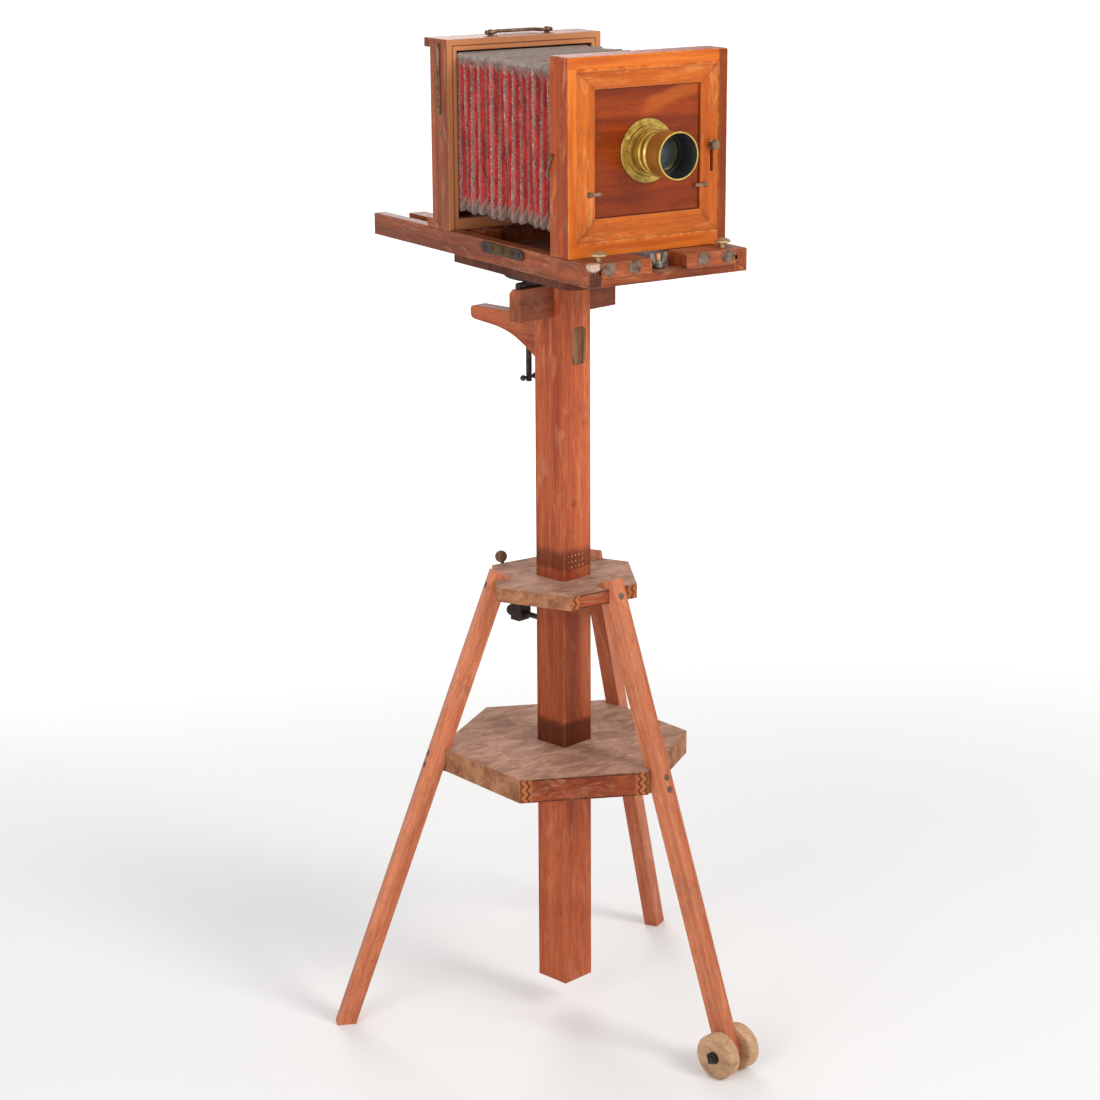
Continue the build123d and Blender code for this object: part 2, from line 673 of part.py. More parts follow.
# Two blocks stand on the board at the front, with the clamping channel between them.
BLOCK_WIDE_BED = (BED_INSIDE - CHANNEL_WIDE) / 2
BLOCK_X = CHANNEL_WIDE / 2 + BLOCK_WIDE_BED / 2
BLOCK_HIGH = RAIL_HIGH - BOARD_THICK
PLATE_SIZE = 18.0
PLATE_DEEP = 3.0
PLATE_PROUD = 0.8
PLATE_DROP = 9.2
PLATE_XS = (-98.4, -57.5, 57.5, 98.4)
plates = []
for x in PLATE_XS:
    with BuildPart() as one_plate:
        with BuildSketch(facing(x, BED_FRONT + PLATE_DEEP, BED_TOP - PLATE_DROP)):
            Rectangle(PLATE_SIZE, 14)
            with Locations((-PLATE_SIZE / 2, 0), (PLATE_SIZE / 2, 0)):
                Circle(2.6)
            with Locations((0, 4), (0, -4)):
                Circle(5.2)
        extrude(amount=PLATE_DEEP + PLATE_PROUD)
    plates.append(one_plate.part)

with BuildPart() as bed_end_plates:
    add(plates)
save(bed_end_plates, "bed_end_plates")

THUMB_X = 103.0
THUMB_Y = -181.0
THUMB_SHAFT = 3.4
THUMB_HOLE = 14.0
with BuildPart() as front_blocks:
    for side in (-1, 1):
        with BuildSketch(bed_plane(side * BLOCK_X, BED_FRONT + BLOCK_DEEP / 2, BED_BOTTOM + BOARD_THICK)):
            Rectangle(BLOCK_WIDE_BED, BLOCK_DEEP)
        extrude(amount=BLOCK_HIGH)
    upper_edges = front_blocks.edges().filter_by(Axis.Y).group_by(Axis.Z)[-1]
    chamfer(upper_edges, length=1.0)
    add(plates, mode=Mode.SUBTRACT)
    for side in (-1, 1):
        with BuildSketch(bed_plane(side * THUMB_X, THUMB_Y, BED_TOP)):
            Circle(THUMB_SHAFT + RUNNING_FIT)
        extrude(amount=-THUMB_HOLE, mode=Mode.SUBTRACT)
save(front_blocks, "front_blocks")


def thumb_screw(side):
    """A knurled brass thumb screw standing in the block."""
    plane = bed_plane(side * THUMB_X, THUMB_Y, BED_TOP)
    knurls = 28
    blank = turning(plane, [(0, -12), (THUMB_SHAFT, -12), (THUMB_SHAFT, 5.5), (6, 6.5), (11.4, 7.5),
                            (11.4, 10), (9.5, 11.2), (8.8, 11.2), (7.6, 12.4), (5.0, 12.4), (4.2, 13.2),
                            (0, 13.4)])
    with BuildPart() as screw:
        add(blank)
        with BuildSketch(plane.offset(7)):
            with PolarLocations(11.8, knurls):
                Circle(0.55)
        extrude(amount=4, mode=Mode.SUBTRACT)
    return screw


save(thumb_screw(-1), "thumb_screw_left")
save(thumb_screw(1), "thumb_screw_right")

# A wing nut on an upright bolt clamps what slides in the channel.
WING_X = 0.0
WING_Y = BED_FRONT + 27.0
BOARD_TOP = BED_BOTTOM + BOARD_THICK
WING_BORE = 3.0
BOLT_PLATE_RADIUS = 9.0
BOLT_PLATE_THICK = 1.5
BOLT_HIGH = 20.0
with BuildPart() as channel_bolt:
    add(pin(bed_plane(WING_X, WING_Y, BOARD_TOP), WING_BORE, BOLT_HIGH))
    with BuildSketch(bed_plane(WING_X, WING_Y, BOARD_TOP)):
        Circle(BOLT_PLATE_RADIUS)
    extrude(amount=BOLT_PLATE_THICK)
    chamfer(channel_bolt.faces().sort_by(Axis.Z)[-1].edges(), length=0.8)
save(channel_bolt, "channel_bolt")

WING_THICK = 2.8
WING_LOW = BOARD_TOP + BOLT_PLATE_THICK + SLIDE_GAP
with BuildPart() as wing_nut:
    wing_plane = bed_plane(WING_X, WING_Y, WING_LOW)
    add(turning(wing_plane, [(WING_BORE + RUNNING_FIT, 0), (7.5, 0), (6.6, 5), (5.2, 9),
                             (WING_BORE + RUNNING_FIT, 9)]))
    for side in (-1, 1):
        with BuildSketch(facing(WING_X, WING_Y + WING_THICK / 2, WING_LOW)):
            with BuildLine():
                Polyline((side * 4.2, 1.5), (side * 6.5, 1.5), (side * 14, 14))
                ThreePointArc((side * 14, 14), (side * 13.2, 19.5), (side * 8.5, 18))
                Polyline((side * 8.5, 18), (side * 4.2, 8), (side * 4.2, 1.5))
            make_face()
        extrude(amount=WING_THICK)
save(wing_nut, "wing_nut")

# ---------------------------------------------------------------- front standard
FRONT_BACK = FRONT_Y + FRONT_DEEP
HOOK_Y = FRONT_BACK - 5.0
HOOK_Z = BED_TOP + 134.5
HOOK_PIN = 1.8
BOX_EDGE = 1.5
INNER_WIDE = STANDARD_WIDE - 2 * BOX_SIDE
INNER_HIGH = FRONT_HIGH - 2 * BOX_RAIL
with BuildPart() as front_box:
    with BuildSketch(facing(0, FRONT_BACK, BED_TOP + FRONT_HIGH / 2)):
        Rectangle(STANDARD_WIDE, FRONT_HIGH)
        Rectangle(INNER_WIDE, INNER_HIGH, mode=Mode.SUBTRACT)
    extrude(amount=FRONT_DEEP)
    corners = front_box.edges().filter_by(Axis.Y).group_by(Axis.Z)
    chamfer(corners[-1] + corners[0], length=BOX_EDGE)
    with BuildSketch(side_view(-STANDARD_WIDE / 2, HOOK_Y, HOOK_Z)):
        Circle(HOOK_PIN + RUNNING_FIT)
    extrude(amount=BOX_SIDE, mode=Mode.SUBTRACT)
save(front_box, "front_box")

KNOB_X = 106.3
KNOB_Z = BED_TOP + 138.5
SLOT_LOW = BED_TOP + 104.0
KNOB_SHAFT = 2.5
KNOB_TAIL = 2.0
BUTTON_X = 96.0
BUTTON_Z = BED_TOP + 84.5
BUTTON_SHAFT = 1.8
FRAME_RECESS = 0.8
FRAME_FACE = FRONT_Y + FRAME_RECESS
PANEL_MIDDLE = BED_TOP + (PANEL_LOW + PANEL_TOP) / 2
PANEL_HIGH = PANEL_TOP - PANEL_LOW
REBATE = 5.0
with BuildPart() as front_frame:
    with BuildSketch(facing(0, FRAME_FACE + FRAME_THICK, BED_TOP + FRONT_HIGH / 2)):
        Rectangle(INNER_WIDE, INNER_HIGH)
    extrude(amount=FRAME_THICK)
    with BuildSketch(facing(0, FRAME_FACE, PANEL_MIDDLE)):
        Rectangle(PANEL_WIDE, PANEL_HIGH)
    extrude(amount=-FRAME_THICK, mode=Mode.SUBTRACT)
    with BuildSketch(facing(0, FRAME_FACE + FRAME_THICK, PANEL_MIDDLE)):
        Rectangle(PANEL_WIDE + 2 * REBATE, PANEL_HIGH + 2 * REBATE)
    extrude(amount=FRAME_THICK - PANEL_RECESS, mode=Mode.SUBTRACT)
    with BuildSketch(facing(KNOB_X, FRAME_FACE, (KNOB_Z + SLOT_LOW) / 2)):
        SlotCenterToCenter(KNOB_Z - SLOT_LOW, 2 * (KNOB_SHAFT + SLIDE_GAP), rotation=90)
    extrude(amount=-FRAME_THICK, mode=Mode.SUBTRACT)
    with BuildSketch(facing(0, FRAME_FACE, BUTTON_Z)):
        with Locations((-BUTTON_X, 0), (BUTTON_X, 0)):
            Circle(BUTTON_SHAFT + RUNNING_FIT)
    extrude(amount=-FRAME_THICK, mode=Mode.SUBTRACT)
save(front_frame, "front_frame")

PANEL_FACE = FRAME_FACE + PANEL_RECESS
PANEL_FIT = 0.3
PANEL_BORE = 27.0
FLANGE_RADIUS = 44.0
FLANGE_THICK = 3.0
BARREL_RADIUS = 28.0
FLANGE_SCREW_AT = 37.5
FLANGE_SCREW_LONG = 8.0
lens_plane = facing(0, PANEL_FACE, BED_TOP + LENS_Z)
lens_screws = []
for azimuth in (150, 270, 30):
    a = radians(azimuth)
    at_rim = facing(FLANGE_SCREW_AT * cos(a), PANEL_FACE - FLANGE_THICK,
                    BED_TOP + LENS_Z + FLANGE_SCREW_AT * sin(a))
    lens_screws.append(wood_screw(at_rim, 3.6, 1.6, FLANGE_SCREW_LONG))

with BuildPart() as lens_panel:
    with BuildSketch(facing(0, PANEL_FACE + PANEL_THICK, PANEL_MIDDLE)):
        Rectangle(PANEL_WIDE + 2 * REBATE - 2 * PANEL_FIT, PANEL_HIGH + 2 * REBATE - 2 * PANEL_FIT)
    extrude(amount=PANEL_THICK)
    with BuildSketch(facing(0, PANEL_FACE, BED_TOP + LENS_Z)):
        Circle(PANEL_BORE)
    extrude(amount=-PANEL_THICK, mode=Mode.SUBTRACT)
    add(lens_screws, mode=Mode.SUBTRACT)
save(lens_panel, "lens_panel")

# ---------------------------------------------------------------- lens
with BuildPart() as lens_flange:
    add(turning(lens_plane, [(PANEL_BORE, 0), (FLANGE_RADIUS, 0), (FLANGE_RADIUS, 2.2),
                             (FLANGE_RADIUS - 0.8, 3), (35, 3), (34.4, 7), (33.6, 7.6), (33, 7.6), (33, 10),
                             (BARREL_RADIUS, 10), (BARREL_RADIUS, 3), (PANEL_BORE, 3)]))
    add(lens_screws, mode=Mode.SUBTRACT)
save(lens_flange, "lens_flange")

with BuildPart() as flange_screws:
    add(lens_screws)
save(flange_screws, "flange_screws")

HOOD_START = 36.0
LENS_LONG = 75.0
BORE_RADIUS = 25.0
with BuildPart() as lens_barrel:
    add(turning(lens_plane, [(BORE_RADIUS, 3), (BARREL_RADIUS, 3), (BARREL_RADIUS, 13), (30, 14),
                             (30.6, 16), (30.6, 21), (30, 23), (28.6, 24), (28.6, HOOD_START),
                             (BORE_RADIUS, HOOD_START)]))
save(lens_barrel, "lens_barrel")

with BuildPart() as lens_hood:
    add(turning(lens_plane, [(BORE_RADIUS, HOOD_START), (31.5, HOOD_START), (32.4, HOOD_START + 1.2),
                             (31.5, HOOD_START + 2.6), (30.4, HOOD_START + 4), (30.4, LENS_LONG - 10),
                             (31.2, LENS_LONG - 5), (32.6, LENS_LONG - 1.2), (32.2, LENS_LONG),
                             (30.6, LENS_LONG), (28.4, LENS_LONG - 8), (28.4, HOOD_START + 6),
                             (BORE_RADIUS, HOOD_START + 6)]))
save(lens_hood, "lens_hood")


def glass(low, thick, bulge):
    """A lens element: a disc with one domed face."""
    sphere_radius = (BORE_RADIUS ** 2 + bulge ** 2) / (2 * bulge)
    with BuildPart() as element:
        add(pin(lens_plane.offset(low), BORE_RADIUS, thick + bulge))
        with Locations(lens_plane.offset(low + thick + bulge - sphere_radius)):
            Sphere(sphere_radius, mode=Mode.INTERSECT)
    return element


save(glass(HOOD_START - 6, 3, 3), "front_glass")
save(glass(6, 3, 2), "rear_glass")


# ---------------------------------------------------------------- fittings of the front standard
def turn_button(side):
    """A brass turn-button pointing over the panel's edge."""
    reach = 16.0
    wide = 4.6
    plane = facing(side * BUTTON_X, FRAME_FACE - SLIDE_GAP, BUTTON_Z)
    with BuildPart() as button:
        with BuildSketch(plane):
            Circle(3.6)
            with Locations((-side * reach / 2, 0)):
                Rectangle(reach, wide)
            with Locations((-side * reach, 0)):
                Circle(wide / 2)
        extrude(amount=2.2)
        add(turning(plane, [(0, -8), (BUTTON_SHAFT, -8), (BUTTON_SHAFT, 2), (2.8, 2.2), (2.4, 3.8),
                            (0, 4.2)]))
    return button


save(turn_button(-1), "turn_button_left")
save(turn_button(1), "turn_button_right")

knob_plane = facing(KNOB_X, FRAME_FACE - SLIDE_GAP, KNOB_Z)
with BuildPart() as rise_knob:
    add(turning(knob_plane, [(0, -FRAME_THICK - KNOB_TAIL), (KNOB_SHAFT, -FRAME_THICK - KNOB_TAIL),
                             (KNOB_SHAFT, 0), (6.4, 0), (6.4, 1.2), (3.6, 2), (3.6, 5), (6.8, 6), (7.2, 8),
                             (6.6, 10), (4, 11), (0, 11.3)]))
save(rise_knob, "rise_knob")

HOOK_LONG = 27.0
HOOK_LEAN = 22.0
HOOK_THICK = 2.2
HOOK_HEAD = 1.6
HOOK_SHANK = 7.0
hook_plane = side_view(-STANDARD_WIDE / 2 - SLIDE_GAP, HOOK_Y, HOOK_Z)
hook_dir = Vector(sin(radians(HOOK_LEAN)), -cos(radians(HOOK_LEAN)))
with BuildPart() as side_hook:
    with BuildSketch(hook_plane):
        Circle(4.2)
        with Locations(Location((hook_dir.X * HOOK_LONG / 2, hook_dir.Y * HOOK_LONG / 2, 0), HOOK_LEAN)):
            Rectangle(4.4, HOOK_LONG)
        with Locations((hook_dir.X * HOOK_LONG, hook_dir.Y * HOOK_LONG)):
            Circle(3.6)
    extrude(amount=-HOOK_THICK)
    with BuildSketch(hook_plane):
        Circle(HOOK_PIN)
    extrude(amount=HOOK_SHANK)
    with BuildSketch(hook_plane.offset(-HOOK_THICK)):
        Circle(3.2)
    extrude(amount=-HOOK_HEAD)
save(side_hook, "side_hook")

# ---------------------------------------------------------------- bellows
BELLOWS_GAP = 0.3
BELLOWS_CORNER = 14.0
BELLOWS_INNER_CORNER = 8.0
bellows_middle = BED_TOP + (BELLOWS_LOW + BELLOWS_TOP) / 2
bellows_high = BELLOWS_TOP - BELLOWS_LOW
with BuildPart() as bellows:
    with BuildSketch(facing(0, REAR_Y - BELLOWS_GAP, bellows_middle)):
        RectangleRounded(BELLOWS_WIDE, bellows_high, BELLOWS_CORNER)
        RectangleRounded(BELLOWS_WIDE - 2 * BELLOWS_WALL, bellows_high - 2 * BELLOWS_WALL,
                         BELLOWS_INNER_CORNER, mode=Mode.SUBTRACT)
    extrude(amount=REAR_Y - FRONT_BACK - 2 * BELLOWS_GAP)
save(bellows, "bellows")

# ---------------------------------------------------------------- rear standard
REAR_BACK = REAR_Y + REAR_DEEP
REAR_INNER = STANDARD_WIDE - 2 * REAR_STILE
REAR_LIFT = SLIDE_GAP
STAY_Y = REAR_Y + 23.0
STAY_PIVOT_Z = BED_TOP + 261.0
STAY_PIN = 1.8
STAY_SHANK = 8.0
with BuildPart() as rear_frame:
    with BuildSketch(facing(0, REAR_BACK, BED_TOP + (REAR_HIGH + REAR_LIFT) / 2)):
        Rectangle(STANDARD_WIDE, REAR_HIGH - REAR_LIFT)
        Rectangle(REAR_INNER, REAR_HIGH - REAR_LIFT - 2 * REAR_STILE, mode=Mode.SUBTRACT)
    extrude(amount=REAR_DEEP)
    with BuildSketch(side_view(-STANDARD_WIDE / 2, STAY_Y, STAY_PIVOT_Z)):
        Circle(STAY_PIN + RUNNING_FIT)
    extrude(amount=STAY_SHANK + 1.0, mode=Mode.SUBTRACT)
save(rear_frame, "rear_frame")

with BuildPart() as rear_ledges:
    for z in (BED_TOP + REAR_LIFT + LEDGE_HIGH / 2, BED_TOP + REAR_HIGH - LEDGE_HIGH / 2):
        with BuildSketch(facing(0, REAR_BACK + LEDGE_DEEP, z)):
            Rectangle(STANDARD_WIDE, LEDGE_HIGH)
        extrude(amount=LEDGE_DEEP)
save(rear_ledges, "rear_ledges")

# The carriage board hangs between the rails on two tongues, and two strips run back from the frame.
CARRIAGE_START = REAR_Y - 40.0
CARRIAGE_END = REAR_BACK + 132.0
CARRIAGE_TOP = BED_TOP - 4.0
CARRIAGE_THICK = CARRIAGE_TOP - BOARD_TOP - SLIDE_GAP
STRIP_X = 82.0
STRIP_WIDE = 26.0
STRIP_RISE = 6.0
BOARD_BEYOND = 25.0
carriage_middle = (CARRIAGE_START + CARRIAGE_END) / 2
carriage_long = CARRIAGE_END - CARRIAGE_START
with BuildPart() as carriage:
    with BuildSketch(bed_plane(0, REAR_Y + REAR_DEEP / 2, CARRIAGE_TOP)):
        Rectangle(BED_INSIDE - 2 * SLIDE_GAP, REAR_DEEP + 2 * BOARD_BEYOND)
    extrude(amount=-CARRIAGE_THICK)
    for side in (-1, 1):
        with BuildSketch(bed_plane(side * STRIP_X, carriage_middle, CARRIAGE_TOP - CARRIAGE_THICK)):
            Rectangle(STRIP_WIDE, carriage_long)
        extrude(amount=CARRIAGE_THICK + STRIP_RISE)
        tongue_x = side * (BED_INSIDE / 2 + TONGUE_DEEP / 2 - 1.0)
        with BuildSketch(bed_plane(tongue_x, REAR_Y + REAR_DEEP / 2, GROOVE_Z - TONGUE_HIGH / 2)):
            Rectangle(TONGUE_DEEP + 1.4, REAR_DEEP + 2 * BOARD_BEYOND)
        extrude(amount=TONGUE_HIGH)
    with BuildSketch(bed_plane(0, REAR_Y + REAR_DEEP / 2, BED_TOP + REAR_LIFT)):
        Rectangle(BED_WIDE + 10, REAR_DEEP + 2 * LEDGE_DEEP + 30)
    extrude(amount=20, mode=Mode.SUBTRACT)
    with BuildSketch(bed_plane(0, REAR_Y + REAR_DEEP / 2, CARRIAGE_TOP)):
        Rectangle(BED_INSIDE - 2 * SLIDE_GAP, REAR_DEEP)
    extrude(amount=BED_TOP + REAR_LIFT - CARRIAGE_TOP)
save(carriage, "carriage")

SCREEN_FIT = 0.5
SCREEN_WIDE = 244.0
SCREEN_HIGH = REAR_HIGH - REAR_LIFT - 2 * LEDGE_HIGH - 2 * SCREEN_FIT
SCREEN_THICK = 12.0
SCREEN_STILE = 24.0
GLASS_LAP = 6.0
SCREEN_Z = BED_TOP + (REAR_HIGH + REAR_LIFT) / 2
GLASS_THICK = 2.5
with BuildPart() as screen_frame:
    with BuildSketch(facing(0, REAR_BACK + SCREEN_FIT + SCREEN_THICK, SCREEN_Z)):
        Rectangle(SCREEN_WIDE, SCREEN_HIGH)
        Rectangle(SCREEN_WIDE - 2 * SCREEN_STILE, SCREEN_HIGH - 2 * SCREEN_STILE, mode=Mode.SUBTRACT)
    extrude(amount=SCREEN_THICK)
    with BuildSketch(facing(0, REAR_BACK + SCREEN_FIT, SCREEN_Z)):
        Rectangle(SCREEN_WIDE - 2 * (SCREEN_STILE - GLASS_LAP), SCREEN_HIGH - 2 * (SCREEN_STILE - GLASS_LAP))
    extrude(amount=-GLASS_THICK, mode=Mode.SUBTRACT)
save(screen_frame, "screen_frame")

with BuildPart() as ground_glass:
    with BuildSketch(facing(0, REAR_BACK + SCREEN_FIT, SCREEN_Z)):
        Rectangle(SCREEN_WIDE - 2 * (SCREEN_STILE - GLASS_LAP), SCREEN_HIGH - 2 * (SCREEN_STILE - GLASS_LAP))
    extrude(amount=-GLASS_THICK)
save(ground_glass, "ground_glass")

# A bail handle on two posts lies back on top of the rear standard.
HANDLE_X = 8.0
HANDLE_SPAN = 96.0
HANDLE_Y = REAR_Y + 29.0
HANDLE_Z = BED_TOP + REAR_HIGH + 4.6
HANDLE_REACH = 13.0
WIRE_RADIUS = 2.6
POST_WIDE = 5.0
POST_RADIUS = 4.2
POST_BORE = WIRE_RADIUS + RUNNING_FIT
FOOT_DISC_RADIUS = 4.8
FOOT_DISC_THICK = 0.8
END_BALL_RADIUS = 3.4
END_BALL_GAP = 0.7
with BuildPart() as handle_posts:
    for side in (-1, 1):
        x = HANDLE_X + side * HANDLE_SPAN / 2
        base = bed_plane(x, HANDLE_Y, BED_TOP + REAR_HIGH)
        with BuildSketch(base):
            Circle(FOOT_DISC_RADIUS)
        extrude(amount=FOOT_DISC_THICK)
        with BuildSketch(side_view(x, HANDLE_Y, HANDLE_Z)):
            Circle(POST_RADIUS)
        extrude(amount=POST_WIDE / 2, both=True)
        with BuildSketch(side_view(x, HANDLE_Y, HANDLE_Z)):
            Circle(POST_BORE)
        extrude(amount=POST_WIDE, both=True, mode=Mode.SUBTRACT)
save(handle_posts, "handle_posts")

half_span = HANDLE_SPAN / 2
ball_offset = half_span + POST_WIDE / 2 + END_BALL_GAP + END_BALL_RADIUS
handle_face = bed_plane(HANDLE_X, HANDLE_Y, HANDLE_Z)
with BuildPart() as carry_handle:
    with BuildLine(handle_face):
        route = FilletPolyline((-half_span - 4.5, 0), (-half_span + 9, 0),
                               (-half_span + 14, HANDLE_REACH), (half_span - 14, HANDLE_REACH),
                               (half_span - 9, 0), (half_span + 4.5, 0), radius=4)
    with BuildSketch(Plane(origin=route @ 0, z_dir=route % 0)):
        Circle(WIRE_RADIUS)
    sweep()
    for side in (-1, 1):
        ball_at = handle_face.from_local_coords(Vector(side * ball_offset, 0, 0))
        with Locations(Location(ball_at)):
            Sphere(END_BALL_RADIUS)
save(carry_handle, "carry_handle")

# A thin slotted stay hangs from its pin on the left side of the rear frame.
STAY_LONG = 94.0
STAY_WIDE = 7.0
STAY_THICK = 1.8
STAY_SLOT_LONG = 42.0
STAY_SLOT_WIDE = 2.6
STAY_HEAD_RADIUS = 3.4
STAY_HEAD_THICK = 1.6
stay_plane = side_view(-STANDARD_WIDE / 2 - SLIDE_GAP, STAY_Y, STAY_PIVOT_Z)
with BuildPart() as side_stay:
    with BuildSketch(stay_plane):
        with Locations((0, -STAY_LONG / 2)):
            SlotCenterToCenter(STAY_LONG, STAY_WIDE, rotation=90)
        with Locations((0, -0.6 * STAY_LONG)):
            SlotCenterToCenter(STAY_SLOT_LONG, STAY_SLOT_WIDE, rotation=90, mode=Mode.SUBTRACT)
    extrude(amount=-STAY_THICK)
    with BuildSketch(stay_plane):
        Circle(STAY_PIN)
    extrude(amount=STAY_SHANK)
    with BuildSketch(stay_plane.offset(-STAY_THICK)):
        Circle(STAY_HEAD_RADIUS)
    extrude(amount=-STAY_HEAD_THICK)
save(side_stay, "side_stay")
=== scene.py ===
from functools import partial
import json
import math

import bmesh
import bpy
import numpy as np
from mathutils import Matrix, Vector


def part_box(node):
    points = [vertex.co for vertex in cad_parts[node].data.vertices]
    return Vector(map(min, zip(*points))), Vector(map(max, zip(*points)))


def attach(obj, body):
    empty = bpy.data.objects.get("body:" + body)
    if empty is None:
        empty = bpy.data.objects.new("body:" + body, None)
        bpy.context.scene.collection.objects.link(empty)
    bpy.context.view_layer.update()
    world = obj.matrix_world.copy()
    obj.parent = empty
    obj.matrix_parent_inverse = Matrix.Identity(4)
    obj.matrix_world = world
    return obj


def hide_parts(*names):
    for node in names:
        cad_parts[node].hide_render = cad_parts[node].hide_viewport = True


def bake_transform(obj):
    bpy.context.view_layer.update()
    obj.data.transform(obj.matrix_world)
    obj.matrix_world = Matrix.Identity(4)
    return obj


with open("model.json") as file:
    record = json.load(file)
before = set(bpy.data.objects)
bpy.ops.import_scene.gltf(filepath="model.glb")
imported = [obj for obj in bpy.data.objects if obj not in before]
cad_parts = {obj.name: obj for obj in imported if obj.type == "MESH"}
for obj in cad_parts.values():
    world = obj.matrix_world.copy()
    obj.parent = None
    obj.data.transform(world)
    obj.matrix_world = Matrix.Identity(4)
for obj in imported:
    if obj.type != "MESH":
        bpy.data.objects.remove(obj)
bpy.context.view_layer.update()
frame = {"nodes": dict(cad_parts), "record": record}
MM = 0.001


# ---------------------------------------------------------------- places, all taken from the frame
def middle(node):
    low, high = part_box(node)
    return (low + high) / 2


COLUMN_AXIS = middle("column")
BED_MIDDLE_X = middle("bed_board").x
BED_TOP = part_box("front_rail_left")[1].z
BED_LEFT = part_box("front_rail_left")[0].x
BED_FRONT_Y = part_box("front_rail_left")[0].y
UPPER_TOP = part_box("upper_plate")[1].z
LOWER_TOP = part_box("lower_plate")[1].z
FRONT_LOW, FRONT_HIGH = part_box("front_box")
FRAME_LOW, FRAME_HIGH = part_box("front_frame")
REAR_LOW, REAR_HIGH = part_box("rear_frame")
LENS_AXIS = middle("lens_hood")
LEDGE_BACK_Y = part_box("rear_ledges")[1].y
# The column's faces are turned by this from the object's axes.
COLUMN_TURN = math.radians(12.8)


# ---------------------------------------------------------------- materials
def tint(red, green, blue):
    """A colour from 0 to 255 display values, as linear RGBA."""
    linear = []
    for value in (red, green, blue):
        share = value / 255
        linear.append(share / 12.92 if share <= 0.04045 else ((share + 0.055) / 1.055) ** 2.4)
    return (*linear, 1.0)


